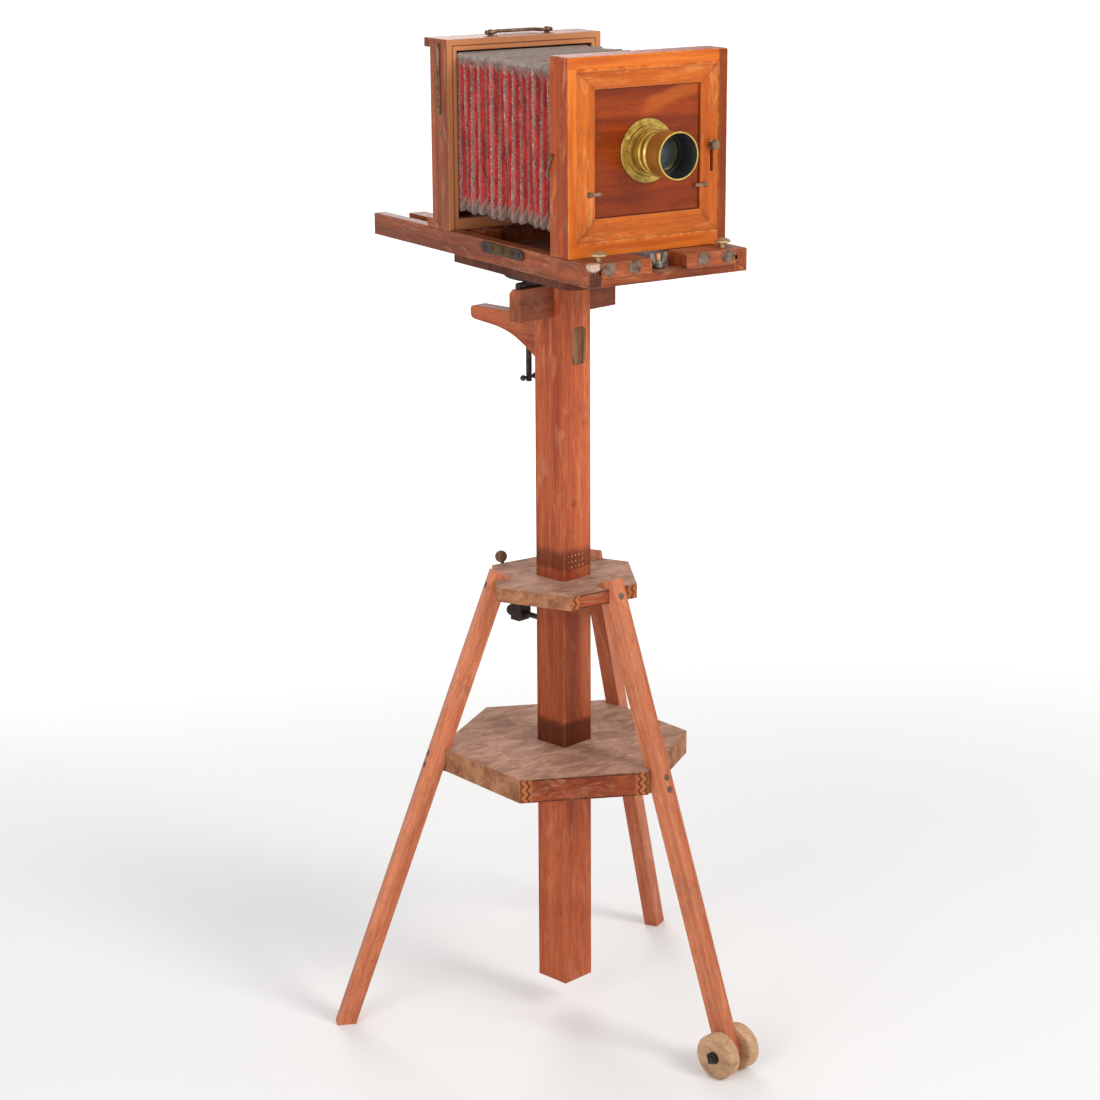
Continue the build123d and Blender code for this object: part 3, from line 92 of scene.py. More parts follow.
class Graph:
    """A material's nodes, with a short call for each kind used here."""

    def __init__(self, name):
        self.material = bpy.data.materials.new(name)
        self.material.use_nodes = True
        self.tree = self.material.node_tree
        self.tree.nodes.clear()
        self.shader = self.node("ShaderNodeBsdfPrincipled")
        output = self.node("ShaderNodeOutputMaterial")
        self.tree.links.new(self.shader.outputs[0], output.inputs[0])
        self.point = self.node("ShaderNodeTexCoord").outputs["Object"]
        self.normal = self.node("ShaderNodeNewGeometry").outputs["Normal"]
        self.rounded = None

    def node(self, kind, **settings):
        made = self.tree.nodes.new(kind)
        for key, value in settings.items():
            setattr(made, key, value)
        return made

    def put(self, socket, value):
        if isinstance(value, bpy.types.NodeSocket):
            self.tree.links.new(value, socket)
        else:
            socket.default_value = value

    def math(self, operation, *values, clamp=False):
        made = self.node("ShaderNodeMath", operation=operation, use_clamp=clamp)
        for socket, value in zip(made.inputs, values):
            self.put(socket, value)
        return made.outputs[0]

    def product(self, first, *others):
        """The values multiplied together, from left to right."""
        for other in others:
            first = self.math("MULTIPLY", first, other)
        return first

    def inverse(self, value):
        return self.math("SUBTRACT", 1.0, value)

    def vector(self, operation, *values):
        made = self.node("ShaderNodeVectorMath", operation=operation)
        for socket, value in zip(made.inputs, values):
            self.put(socket, value)
        return made.outputs["Value" if operation in ("DOT_PRODUCT", "LENGTH") else "Vector"]

    def times(self, vector, scale):
        made = self.node("ShaderNodeVectorMath", operation="SCALE")
        self.put(made.inputs[0], vector)
        self.put(made.inputs["Scale"], scale)
        return made.outputs["Vector"]

    def axes(self, vector=None):
        made = self.node("ShaderNodeSeparateXYZ")
        self.put(made.inputs[0], self.point if vector is None else vector)
        return made.outputs

    def joined(self, x, y, z):
        made = self.node("ShaderNodeCombineXYZ")
        for socket, value in zip(made.inputs, (x, y, z)):
            self.put(socket, value)
        return made.outputs[0]

    def step(self, value, low, high):
        """0 below low, 1 above high, smooth between them."""
        made = self.node("ShaderNodeMapRange", interpolation_type="SMOOTHSTEP")
        for socket, number in zip(made.inputs, (value, low, high, 0.0, 1.0)):
            self.put(socket, number)
        return made.outputs[0]

    def band(self, value, centre, half, soft):
        """1 within half of centre, fading over soft."""
        away = self.math("ABSOLUTE", self.math("SUBTRACT", value, centre))
        return self.inverse(self.step(away, half, half + soft))

    def mix(self, share, first, second):
        made = self.node("ShaderNodeMix", data_type="RGBA")
        self.put(made.inputs["Factor"], share)
        self.put(made.inputs[6], first)
        self.put(made.inputs[7], second)
        return made.outputs[2]

    def lay(self, under, paint, mask, share):
        """Lays paint over a colour where a mask allows, by a share."""
        return self.mix(self.product(mask, share), under, paint)

    def pick(self, share, first, second):
        """The first place where share is 0 and the second where it is 1."""
        made = self.node("ShaderNodeMix", data_type="VECTOR")
        self.put(made.inputs["Factor"], share)
        self.put(made.inputs[4], first)
        self.put(made.inputs[5], second)
        return made.outputs[1]

    def noise(self, vector, scale, detail=4.0, roughness=0.55, distortion=0.0):
        made = self.node("ShaderNodeTexNoise")
        self.put(made.inputs["Vector"], vector)
        self.put(made.inputs["Scale"], scale)
        self.put(made.inputs["Detail"], detail)
        self.put(made.inputs["Roughness"], roughness)
        self.put(made.inputs["Distortion"], distortion)
        return made.outputs["Fac"]

    def edges(self, radius):
        """1 on an edge, from how far a rounded normal turns from the real one."""
        rounded = self.node("ShaderNodeBevel", samples=4)
        self.put(rounded.inputs["Radius"], radius)
        self.rounded = rounded.outputs[0]
        turned = self.vector("DOT_PRODUCT", rounded.outputs[0], self.normal)
        return self.inverse(self.step(turned, 0.86, 0.99))

    def bump(self, height, distance, strength=1.0):
        made = self.node("ShaderNodeBump")
        self.put(made.inputs["Height"], height)
        made.inputs["Distance"].default_value = distance
        made.inputs["Strength"].default_value = strength
        if self.rounded is not None:
            self.put(made.inputs["Normal"], self.rounded)
        self.put(self.shader.inputs["Normal"], made.outputs[0])

    def finish(self, colour, roughness, metallic=0.0, **fixed):
        self.put(self.shader.inputs["Base Color"], colour)
        self.put(self.shader.inputs["Roughness"], roughness)
        self.put(self.shader.inputs["Metallic"], metallic)
        for key, value in fixed.items():
            self.shader.inputs[key.replace("_", " ")].default_value = value
        return self.material


X_AXIS = Vector((1, 0, 0))
Y_AXIS = Vector((0, 1, 0))
Z_AXIS = Vector((0, 0, 1))
# How far coordinates are squeezed along the grain: 1 would draw endless lines.
LONG_GRAIN = 0.955
SHORT_GRAIN = 0.78


def along(graph, direction, start=None, squeeze=LONG_GRAIN):
    """Coordinates squeezed along the grain, so that a noise on them draws long streaks."""
    place = graph.point if start is None else start
    reach = graph.vector("DOT_PRODUCT", place, tuple(direction))
    reach = graph.product(reach, squeeze)
    return graph.vector("SUBTRACT", place, graph.times(tuple(direction), reach))


def front_facing(graph):
    """1 on faces that look forwards, 0 on the others."""
    return graph.step(graph.product(graph.axes(graph.normal)[1], -1.0), 0.5, 0.8)


def centred_noise(graph, scale, reach, detail=4.0):
    """A noise from minus half of reach to half of reach, which makes a straight limit ragged."""
    return graph.product(graph.math("SUBTRACT", graph.noise(graph.point, scale, detail), 0.5), reach)


# Sizes of the wood's marks, as noise scales in features per metre.
STREAKS = 95.0
FIBRES = 640.0
PORES = 1500.0
FLECKS = 210.0
RIBBONS = 62.0
STAINS = 13.0
WEAR_PATCHES = 60.0
DUST_PATCHES = 34.0
SPECKS = 430.0
PORE_BROWN = tint(44, 18, 10)
STAIN_BROWN = tint(62, 30, 20)
JOINT_BROWN = tint(52, 22, 10)
SETTLED_DUST = tint(176, 150, 134)
PALE_SPECK = tint(214, 190, 170)
WOOD_EDGE = 2.2 * MM
WOOD_RELIEF = 0.12 * MM
WOOD_SPECULAR = 0.14
VARNISH_ROUGHNESS = 0.14


def wood(name, light, dark, grain=Z_AXIS, gloss=0.45, coat=0.0, wear=0.5, worn=None, dust=0.0, dirt=0.35,
         shift=0.0, contrast=1.0, zones=None, joint=None, extra=None, figure=9.0):
    """Mahogany and its cousins: broad figure, streaks, pores, grime, worn edges and dust on top faces.

    zones is a function of the graph that gives a second grain direction and a mask for it; joint gives a
    mask for a dark joint line; extra gets the graph and the colour and returns the changed colour."""
    graph = Graph(name)
    moved = graph.vector("ADD", graph.point, (shift, shift * 0.7, shift * 1.3))
    coarse = along(graph, grain, moved)
    short = along(graph, grain, moved, SHORT_GRAIN)
    if zones:
        second, mask = zones(graph)
        coarse = graph.pick(mask, coarse, along(graph, second, moved))
        short = graph.pick(mask, short, along(graph, second, moved, SHORT_GRAIN))
    bands = graph.noise(coarse, figure, 5.0, 0.5, 0.9)
    streaks = graph.noise(coarse, STREAKS, 4.0, 0.6)
    fibres = graph.noise(coarse, FIBRES, 2.0, 0.6)
    pores = graph.step(graph.noise(coarse, PORES, 2.0, 0.5), 0.60, 0.68)
    tone = graph.math("ADD", graph.product(bands, 0.95), graph.product(streaks, 0.65))
    tone = graph.math("ADD", tone, graph.product(fibres, 0.30))
    spread = 0.30 / contrast
    tone = graph.step(tone, 0.95 - spread, 0.95 + spread)
    colour = graph.mix(tone, dark, light)
    colour = graph.lay(colour, PORE_BROWN, pores, 0.42)
    flecks = graph.step(graph.noise(short, FLECKS, 4.0, 0.65), 0.50, 0.66)
    colour = graph.lay(colour, dark, flecks, 0.34)
    ribbons = graph.step(graph.noise(short, RIBBONS, 5.0, 0.6, 1.2), 0.52, 0.70)
    colour = graph.lay(colour, worn or light, ribbons, 0.26)
    stains = graph.step(graph.noise(graph.point, STAINS, 6.0, 0.65, 0.5), 0.50, 0.74)
    colour = graph.lay(colour, STAIN_BROWN, stains, dirt)
    if extra:
        colour = extra(graph, colour)
    if joint:
        colour = graph.mix(joint(graph), colour, JOINT_BROWN)
    patchy = graph.step(graph.noise(graph.point, WEAR_PATCHES, 5.0, 0.7), 0.36, 0.62)
    edge = graph.product(graph.edges(WOOD_EDGE), patchy)
    colour = graph.lay(colour, worn or light, edge, wear)
    facing_up = graph.step(graph.axes(graph.normal)[2], 0.55, 0.9)
    settled = graph.step(graph.noise(graph.point, DUST_PATCHES, 6.0, 0.7), 0.3, 0.7)
    settled = graph.product(facing_up, settled, dust)
    colour = graph.mix(settled, colour, SETTLED_DUST)
    specks = graph.step(graph.noise(graph.point, SPECKS, 2.0, 0.5), 0.735, 0.77)
    colour = graph.lay(colour, PALE_SPECK, specks, 0.35)
    rough = graph.math("ADD", gloss, graph.product(graph.math("SUBTRACT", streaks, 0.5), 0.25))
    rough = graph.math("ADD", rough, graph.product(settled, 0.35), clamp=True)
    relief = graph.math("SUBTRACT", graph.product(fibres, 0.5), pores)
    graph.bump(relief, WOOD_RELIEF, 0.6)
    return graph.finish(colour, rough, Coat_Weight=coat, Coat_Roughness=VARNISH_ROUGHNESS,
                        Specular_IOR_Level=WOOD_SPECULAR)


# Sizes of the metal's marks, as noise scales in features per metre.
TARNISH = 85.0
FINE_GRAIN = 900.0
SPOTS = 330.0
TURNING_MARKS = 1400.0
METAL_EDGE = 0.9 * MM
METAL_RELIEF = 0.05 * MM


def metal(name, bright, dull, rough=0.38, tarnish=0.5, metallic=1.0, turned_about=None, extra=None):
    """Worn metal: dull in patches, bright on its edges, with turning marks where it was turned.

    turned_about is a point on the axis that it was turned on, which lies along Y; extra gets the graph, the
    colour and the metallic share, and returns the last two changed."""
    graph = Graph(name)
    mottled = graph.step(graph.noise(graph.point, TARNISH, 7.0, 0.68, 0.4), 0.34, 0.68)
    colour = graph.lay(bright, dull, mottled, tarnish)
    fine = graph.noise(graph.point, FINE_GRAIN, 3.0, 0.6)
    spots = graph.step(graph.noise(graph.point, SPOTS, 4.0, 0.6), 0.64, 0.72)
    colour = graph.lay(colour, dull, spots, 0.5)
    colour = graph.lay(colour, bright, graph.edges(METAL_EDGE), 0.6)
    share = metallic
    if extra:
        colour, share = extra(graph, colour, metallic)
    height = fine
    if turned_about is not None:
        away = graph.vector("SUBTRACT", graph.point, tuple(turned_about))
        parts = graph.axes(away)
        radius = graph.vector("LENGTH", graph.joined(parts[0], 0.0, parts[2]))
        rings = graph.noise(graph.joined(radius, parts[1], 0.0), TURNING_MARKS, 2.0, 0.5)
        height = graph.math("ADD", graph.product(fine, 0.4), rings)
    graph.bump(height, METAL_RELIEF, 0.5)
    roughness = graph.math("ADD", rough, graph.product(mottled, 0.22), clamp=True)
    return graph.finish(colour, roughness, share)


# Front frame: the grain turns at each mitre, and a scribed line marks the joint.
FRAME_MIDDLE = (FRAME_LOW + FRAME_HIGH) / 2
PANEL_HALF_X = 87.5 * MM
PANEL_LOW_Z = BED_TOP + 51 * MM
PANEL_TOP_Z = BED_TOP + 224 * MM
MITRE_BOW = 0.07


def mitre_distance(graph):
    """Above 0 in the upright stiles and below 0 in the rails, 0 on the mitre itself."""
    x, _, z = graph.axes()
    from_side = graph.math("SUBTRACT", FRAME_HIGH.x - FRAME_MIDDLE.x,
                           graph.math("ABSOLUTE", graph.math("SUBTRACT", x, FRAME_MIDDLE.x)))
    from_side = graph.math("DIVIDE", from_side, FRAME_HIGH.x - FRAME_MIDDLE.x - PANEL_HALF_X)
    from_top = graph.math("DIVIDE", graph.math("SUBTRACT", FRAME_HIGH.z, z), FRAME_HIGH.z - PANEL_TOP_Z)
    from_foot = graph.math("DIVIDE", graph.math("SUBTRACT", z, FRAME_LOW.z), PANEL_LOW_Z - FRAME_LOW.z)
    nearest = graph.math("MINIMUM", from_top, from_foot)
    bend = graph.product(graph.math("SINE", graph.product(from_side, math.pi)), MITRE_BOW)
    return graph.math("ADD", graph.math("SUBTRACT", nearest, from_side), bend)


def frame_zones(graph):
    """The rails' grain runs across, up to the mitres."""
    return X_AXIS, graph.inverse(graph.step(mitre_distance(graph), -0.005, 0.005))


def frame_joint(graph):
    """A thin dark line on each mitre, with patchy grime beside it."""
    away = mitre_distance(graph)
    line = graph.product(graph.band(away, 0.0, 0.016, 0.02), 0.6)
    patches = graph.step(graph.noise(graph.point, 90.0), 0.4, 0.7)
    grime = graph.product(graph.band(away, 0.0, 0.02, 0.34), patches)
    return graph.math("MAXIMUM", line, graph.product(grime, 0.4))


def level_boards(low, high, thick, graph):
    """A box's top and bottom boards, whose grain runs across, while its sides stand up."""
    z = graph.axes()[2]
    blend = 1 * MM
    mask = graph.math("MAXIMUM", graph.step(z, high.z - thick - blend, high.z - thick),
                      graph.inverse(graph.step(z, low.z + thick, low.z + thick + blend)))
    side = graph.math("ABSOLUTE", graph.axes(graph.normal)[0])
    return X_AXIS, graph.product(mask, graph.inverse(graph.step(side, 0.5, 0.6)))


box_zones = partial(level_boards, FRONT_LOW, FRONT_HIGH, 15 * MM)
rear_zones = partial(level_boards, REAR_LOW, REAR_HIGH, 15.5 * MM)


def box_faces_with_painted_light(graph, colour):
    """The box's front edges match the frame and are painted lighter than its sides, as painted light from the
    front; the right one is dark.
    """
    x = graph.axes()[0]
    facing_front = front_facing(graph)
    level_grain = box_zones(graph)[1]
    squeezed = 0.06
    upright = graph.vector("MULTIPLY", graph.point, (1.0, 1.0, squeezed))
    sideways = graph.vector("MULTIPLY", graph.point, (squeezed, 1.0, 1.0))
    streaks = graph.step(graph.noise(graph.pick(level_grain, upright, sideways), 90.0, 5.0), 0.3, 0.7)
    # Painted light: faces that look forwards get a lighter colour than the sides.
    bright = graph.mix(streaks, tint(176, 78, 16), tint(216, 116, 38))
    colour = graph.mix(facing_front, colour, bright)
    right = graph.step(x, FRONT_HIGH.x - 14.4 * MM, FRONT_HIGH.x - 13.8 * MM)
    right = graph.product(right, facing_front)
    return graph.lay(colour, tint(96, 34, 14), right, 0.75)


def rear_faces_with_painted_light(graph, colour):
    """The rear frame's front face is painted lighter, as painted light on a face that the lamps leave shaded,
    with a dark line along its step.
    """
    x, _, z = graph.axes()
    facing_front = front_facing(graph)
    # Painted light: the front face is lightened where the lamps leave it in shade.
    colour = graph.lay(colour, tint(212, 144, 96), facing_front, 0.7)
    from_middle = graph.math("ABSOLUTE", graph.math("SUBTRACT", x, (REAR_LOW.x + REAR_HIGH.x) / 2))
    from_side = graph.math("SUBTRACT", (REAR_HIGH.x - REAR_LOW.x) / 2, from_middle)
    from_top = graph.math("SUBTRACT", REAR_HIGH.z, z)
    line = graph.band(graph.math("MINIMUM", from_side, from_top), 9 * MM, 0.5 * MM, 0.8 * MM)
    return graph.lay(colour, tint(66, 30, 18), graph.product(line, facing_front), 0.7)


def panel_figure(graph, colour):
    """A pale flame of figure rises to the right above the lens, and a dark line frames the panel."""
    x, _, z = graph.axes()
    across = graph.math("SUBTRACT", x, LENS_AXIS.x - 18 * MM)
    rise = graph.math("SUBTRACT", z, LENS_AXIS.z + 42 * MM)
    wobble = centred_noise(graph, 22.0, 26 * MM)
    slant = graph.math("SUBTRACT", rise, graph.math("ADD", graph.product(across, 0.34), wobble))
    flame = graph.band(slant, 12 * MM, 5 * MM, 12 * MM)
    flame = graph.product(flame, graph.step(across, 0.0, 30 * MM))
    colour = graph.lay(colour, tint(206, 106, 30), flame, 0.4)
    side = graph.math("ABSOLUTE", graph.math("SUBTRACT", x, FRAME_MIDDLE.x))
    rim = graph.step(side, PANEL_HALF_X - 2.2 * MM, PANEL_HALF_X - 0.8 * MM)
    rim = graph.math("MAXIMUM", rim, graph.step(z, PANEL_TOP_Z - 2.4 * MM, PANEL_TOP_Z - 0.8 * MM))
    low = graph.inverse(graph.step(z, PANEL_LOW_Z + 0.8 * MM, PANEL_LOW_Z + 2.2 * MM))
    return graph.lay(colour, tint(54, 20, 6), graph.math("MAXIMUM", rim, low), 0.7)


def rail_corner(graph, colour):
    """The left rail's front end is dark, with a pale rubbed patch on the corner above it."""
    y = graph.axes()[1]
    front = graph.inverse(graph.step(y, BED_FRONT_Y + 0.3 * MM, BED_FRONT_Y + 1.0 * MM))
    colour = graph.lay(colour, tint(60, 30, 22), front, 0.8)
    away = graph.vector("SUBTRACT", graph.point, (BED_LEFT + 8 * MM, BED_FRONT_Y + 3 * MM, BED_TOP))
    ragged = graph.product(graph.noise(graph.point, 160.0, 5.0, 0.7), 16 * MM)
    reach = graph.math("ADD", graph.vector("LENGTH", away), ragged)
    patch = graph.inverse(graph.step(reach, 17 * MM, 20 * MM))
    return graph.lay(colour, tint(206, 178, 158), patch, 0.8)


def column_marks_and_painted_shade(graph, colour):
    """The column is darker between the plates and in bands above each plate: painted shade under the upper
    plate together with grime where hands and the plates have rubbed it. Pale scratches lie above the upper
    plate.
    """
    level = graph.axes()[2]
    ragged = graph.math("ADD", level, centred_noise(graph, 40.0, 18 * MM))
    # Painted shade: the column is darkened between the plates and most just above the lower plate, where the
    # upper plate shades it, together with grime.
    between = graph.band(ragged, (LOWER_TOP + UPPER_TOP) / 2, (UPPER_TOP - LOWER_TOP) / 2, 30 * MM)
    shade_and_grime_low = graph.band(ragged, LOWER_TOP + 14 * MM, 16 * MM, 16 * MM)
    high_band = graph.band(ragged, UPPER_TOP + 28 * MM, 8 * MM, 12 * MM)
    # This mask holds the painted shade between the plates as well as the grime bands.
    rubbed = graph.math("MAXIMUM", graph.product(shade_and_grime_low, 0.78), graph.product(high_band, 0.6))
    rubbed = graph.math("MAXIMUM", rubbed, graph.product(between, 0.26))
    colour = graph.mix(rubbed, colour, tint(54, 22, 12))
    along_face = graph.vector("DOT_PRODUCT", graph.vector("SUBTRACT", graph.point, tuple(COLUMN_AXIS)),
                              (math.cos(COLUMN_TURN), math.sin(COLUMN_TURN), 0.0))
    front = graph.inverse(graph.step(graph.axes(graph.normal)[1], -0.8, -0.5))
    cells = [graph.math("SUBTRACT", graph.math("PINGPONG", graph.math("SUBTRACT", value, start), gap), gap)
             for value, start, gap in ((along_face, -16 * MM, 3.8 * MM),
                                       (level, UPPER_TOP + 15 * MM, 4.1 * MM))]
    dot = graph.vector("LENGTH", graph.joined(cells[0], cells[1], 0.0))
    dot = graph.inverse(graph.step(dot, 0.7 * MM, 1.5 * MM))
    dot = graph.product(dot, graph.band(along_face, -1 * MM, 18 * MM, 1 * MM))
    dot = graph.product(dot, graph.band(level, UPPER_TOP + 26 * MM, 11 * MM, 1 * MM))
    dot = graph.product(dot, front, graph.step(graph.noise(graph.point, 150.0), 0.36, 0.5))
    colour = graph.lay(colour, tint(226, 168, 112), dot, 0.85)
    knot = graph.vector("LENGTH", graph.joined(graph.math("ADD", along_face, 7 * MM),
                                               graph.math("SUBTRACT", level, UPPER_TOP + 113 * MM), 0.0))
    knot = graph.math("ADD", knot, graph.product(graph.noise(graph.point, 160.0), 5 * MM))
    rings = graph.step(graph.math("SINE", graph.product(knot, 2600.0)), -0.4, 0.8)
    heart = graph.inverse(graph.step(knot, 4 * MM, 12 * MM))
    knot_mark = graph.product(heart, front, graph.math("ADD", 0.4, rings, clamp=True))
    return graph.lay(colour, tint(84, 46, 30), knot_mark, 0.62)


def plate_faces(plate, red_side, graph, colour):
    """Plate tops are grey and worn; one sawn side is red-brown in a dark outline, and the others are tan.

    red_side is the azimuth in degrees that the red-brown side looks to."""
    low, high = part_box(plate)
    z = graph.axes()[2]
    up = graph.step(graph.axes(graph.normal)[2], 0.4, 0.8)
    turned = math.radians(red_side)
    to_red = graph.vector("DOT_PRODUCT", graph.normal, (math.cos(turned), math.sin(turned), 0.0))
    red = graph.step(to_red, 0.7, 0.8)
    ragged = graph.noise(graph.point, 110.0, 6.0, 0.7)
    patches = graph.step(graph.noise(graph.point, 48.0, 7.0, 0.72), 0.3, 0.7)
    mottled = graph.mix(patches, tint(124, 76, 52), tint(190, 138, 100))
    colour = graph.lay(colour, mottled, graph.inverse(red), 0.82)
    from_edge = graph.math("MINIMUM", graph.math("SUBTRACT", high.z, z), graph.math("SUBTRACT", z, low.z))
    from_edge = graph.math("SUBTRACT", from_edge, graph.product(ragged, 5 * MM))
    outline = graph.inverse(graph.step(from_edge, -0.8 * MM, 0.6 * MM))
    colour = graph.lay(colour, tint(50, 24, 16), graph.product(outline, red), 0.7)
    along_side = graph.vector("DOT_PRODUCT", graph.vector("SUBTRACT", graph.point, tuple(COLUMN_AXIS)),
                              (-math.sin(turned), math.cos(turned), 0.0))
    zigzag = graph.math("SINE", graph.math("ADD", graph.product(along_side, 620.0),
                                           graph.product(graph.math("PINGPONG", z, 6 * MM), 500.0)))
    half_side = (high.y - low.y) / 4
    near_end = graph.step(graph.math("ABSOLUTE", along_side), half_side * 0.78, half_side * 0.86)
    teeth = graph.product(graph.step(zigzag, 0.1, 0.5), near_end, red)
    colour = graph.mix(graph.product(near_end, graph.product(red, 0.6)), colour, tint(186, 112, 66))
    colour = graph.lay(colour, tint(70, 30, 18), teeth, 0.75)
    scuffs = graph.noise(graph.vector("MULTIPLY", graph.point, (0.5, 1.0, 1.0)), 46.0, 7.0, 0.74, 0.9)
    top = graph.mix(graph.step(scuffs, 0.34, 0.68), tint(150, 112, 92), tint(204, 162, 140))
    return graph.lay(colour, top, up, 0.9)


def peg_top(graph, colour, metallic):
    """The channel bolt carries a pale wooden peg above its nut."""
    z = graph.axes()[2]
    is_peg = graph.step(z, BED_TOP - 9.0 * MM, BED_TOP - 8.6 * MM)
    colour = graph.mix(is_peg, colour, tint(222, 160, 108))
    return colour, graph.product(graph.inverse(is_peg), metallic)


def hood_inside(graph, colour, metallic):
    """The hood is brass outside and dull black inside."""
    away = graph.axes(graph.vector("SUBTRACT", graph.point, tuple(LENS_AXIS)))
    radius = graph.vector("LENGTH", graph.joined(away[0], 0.0, away[2]))
    outside = graph.step(radius, 30.15 * MM, 30.35 * MM)
    front_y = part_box("lens_hood")[0].y
    behind_lip = graph.step(graph.axes()[1], front_y + 0.1 * MM, front_y + 0.6 * MM)
    lip = graph.product(graph.inverse(behind_lip), graph.step(radius, 30.6 * MM, 30.7 * MM))
    outside = graph.math("MAXIMUM", outside, lip)
    colour = graph.mix(outside, tint(38, 38, 40), colour)
    return colour, graph.product(outside, metallic)


def hinge_recess(graph, colour, metallic):
    """Dark grime lies in the hinge's outer ends, and green brass shows in its middle."""
    y = graph.axes()[1]
    ragged = centred_noise(graph, 130.0, 30 * MM)
    centre = middle("tailboard_hinges").y
    shown = graph.band(graph.math("ADD", y, ragged), centre, 16 * MM, 14 * MM)
    colour = graph.mix(shown, tint(50, 24, 16), tint(84, 64, 28))
    return colour, graph.product(shown, metallic)


def glass(name, colour, roughness, transmission):
    """Glass with faint smears in its gloss."""
    graph = Graph(name)
    smears = graph.step(graph.noise(graph.point, 45.0, 5.0, 0.7), 0.4, 0.75)
    rough = graph.math("ADD", roughness, graph.product(smears, 0.08))
    return graph.finish(colour, rough, Transmission_Weight=transmission, IOR=1.5)


STAND_LIGHT = tint(208, 112, 70)
STAND_DARK = tint(148, 62, 32)
RUBBED_ORANGE = tint(244, 176, 110)
RUBBED_TAN = tint(206, 156, 122)
OLD_BRASS = tint(222, 194, 106)
OLD_BRASS_DULL = tint(148, 124, 54)
DARK_WOOD = dict(light=tint(180, 92, 50), dark=tint(100, 42, 20), worn=tint(212, 146, 104), gloss=0.46,
                 coat=0.06)
GLOSSY = dict(light=tint(220, 120, 38), dark=tint(168, 74, 10), worn=RUBBED_ORANGE, gloss=0.36, coat=0.15)
LEG_SLOPE = 0.35


def leg_direction(node):
    """The line of a leg, from its box: it leans outwards from the column's axis."""
    low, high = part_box(node)
    centre = (low + high) / 2
    out = Vector((centre.x - COLUMN_AXIS.x, centre.y - COLUMN_AXIS.y, 0)).normalized()
    return (out * LEG_SLOPE - Z_AXIS).normalized()


COLUMN_X = Vector((math.cos(COLUMN_TURN), math.sin(COLUMN_TURN), 0))
COLUMN_Y = Vector((-math.sin(COLUMN_TURN), math.cos(COLUMN_TURN), 0))

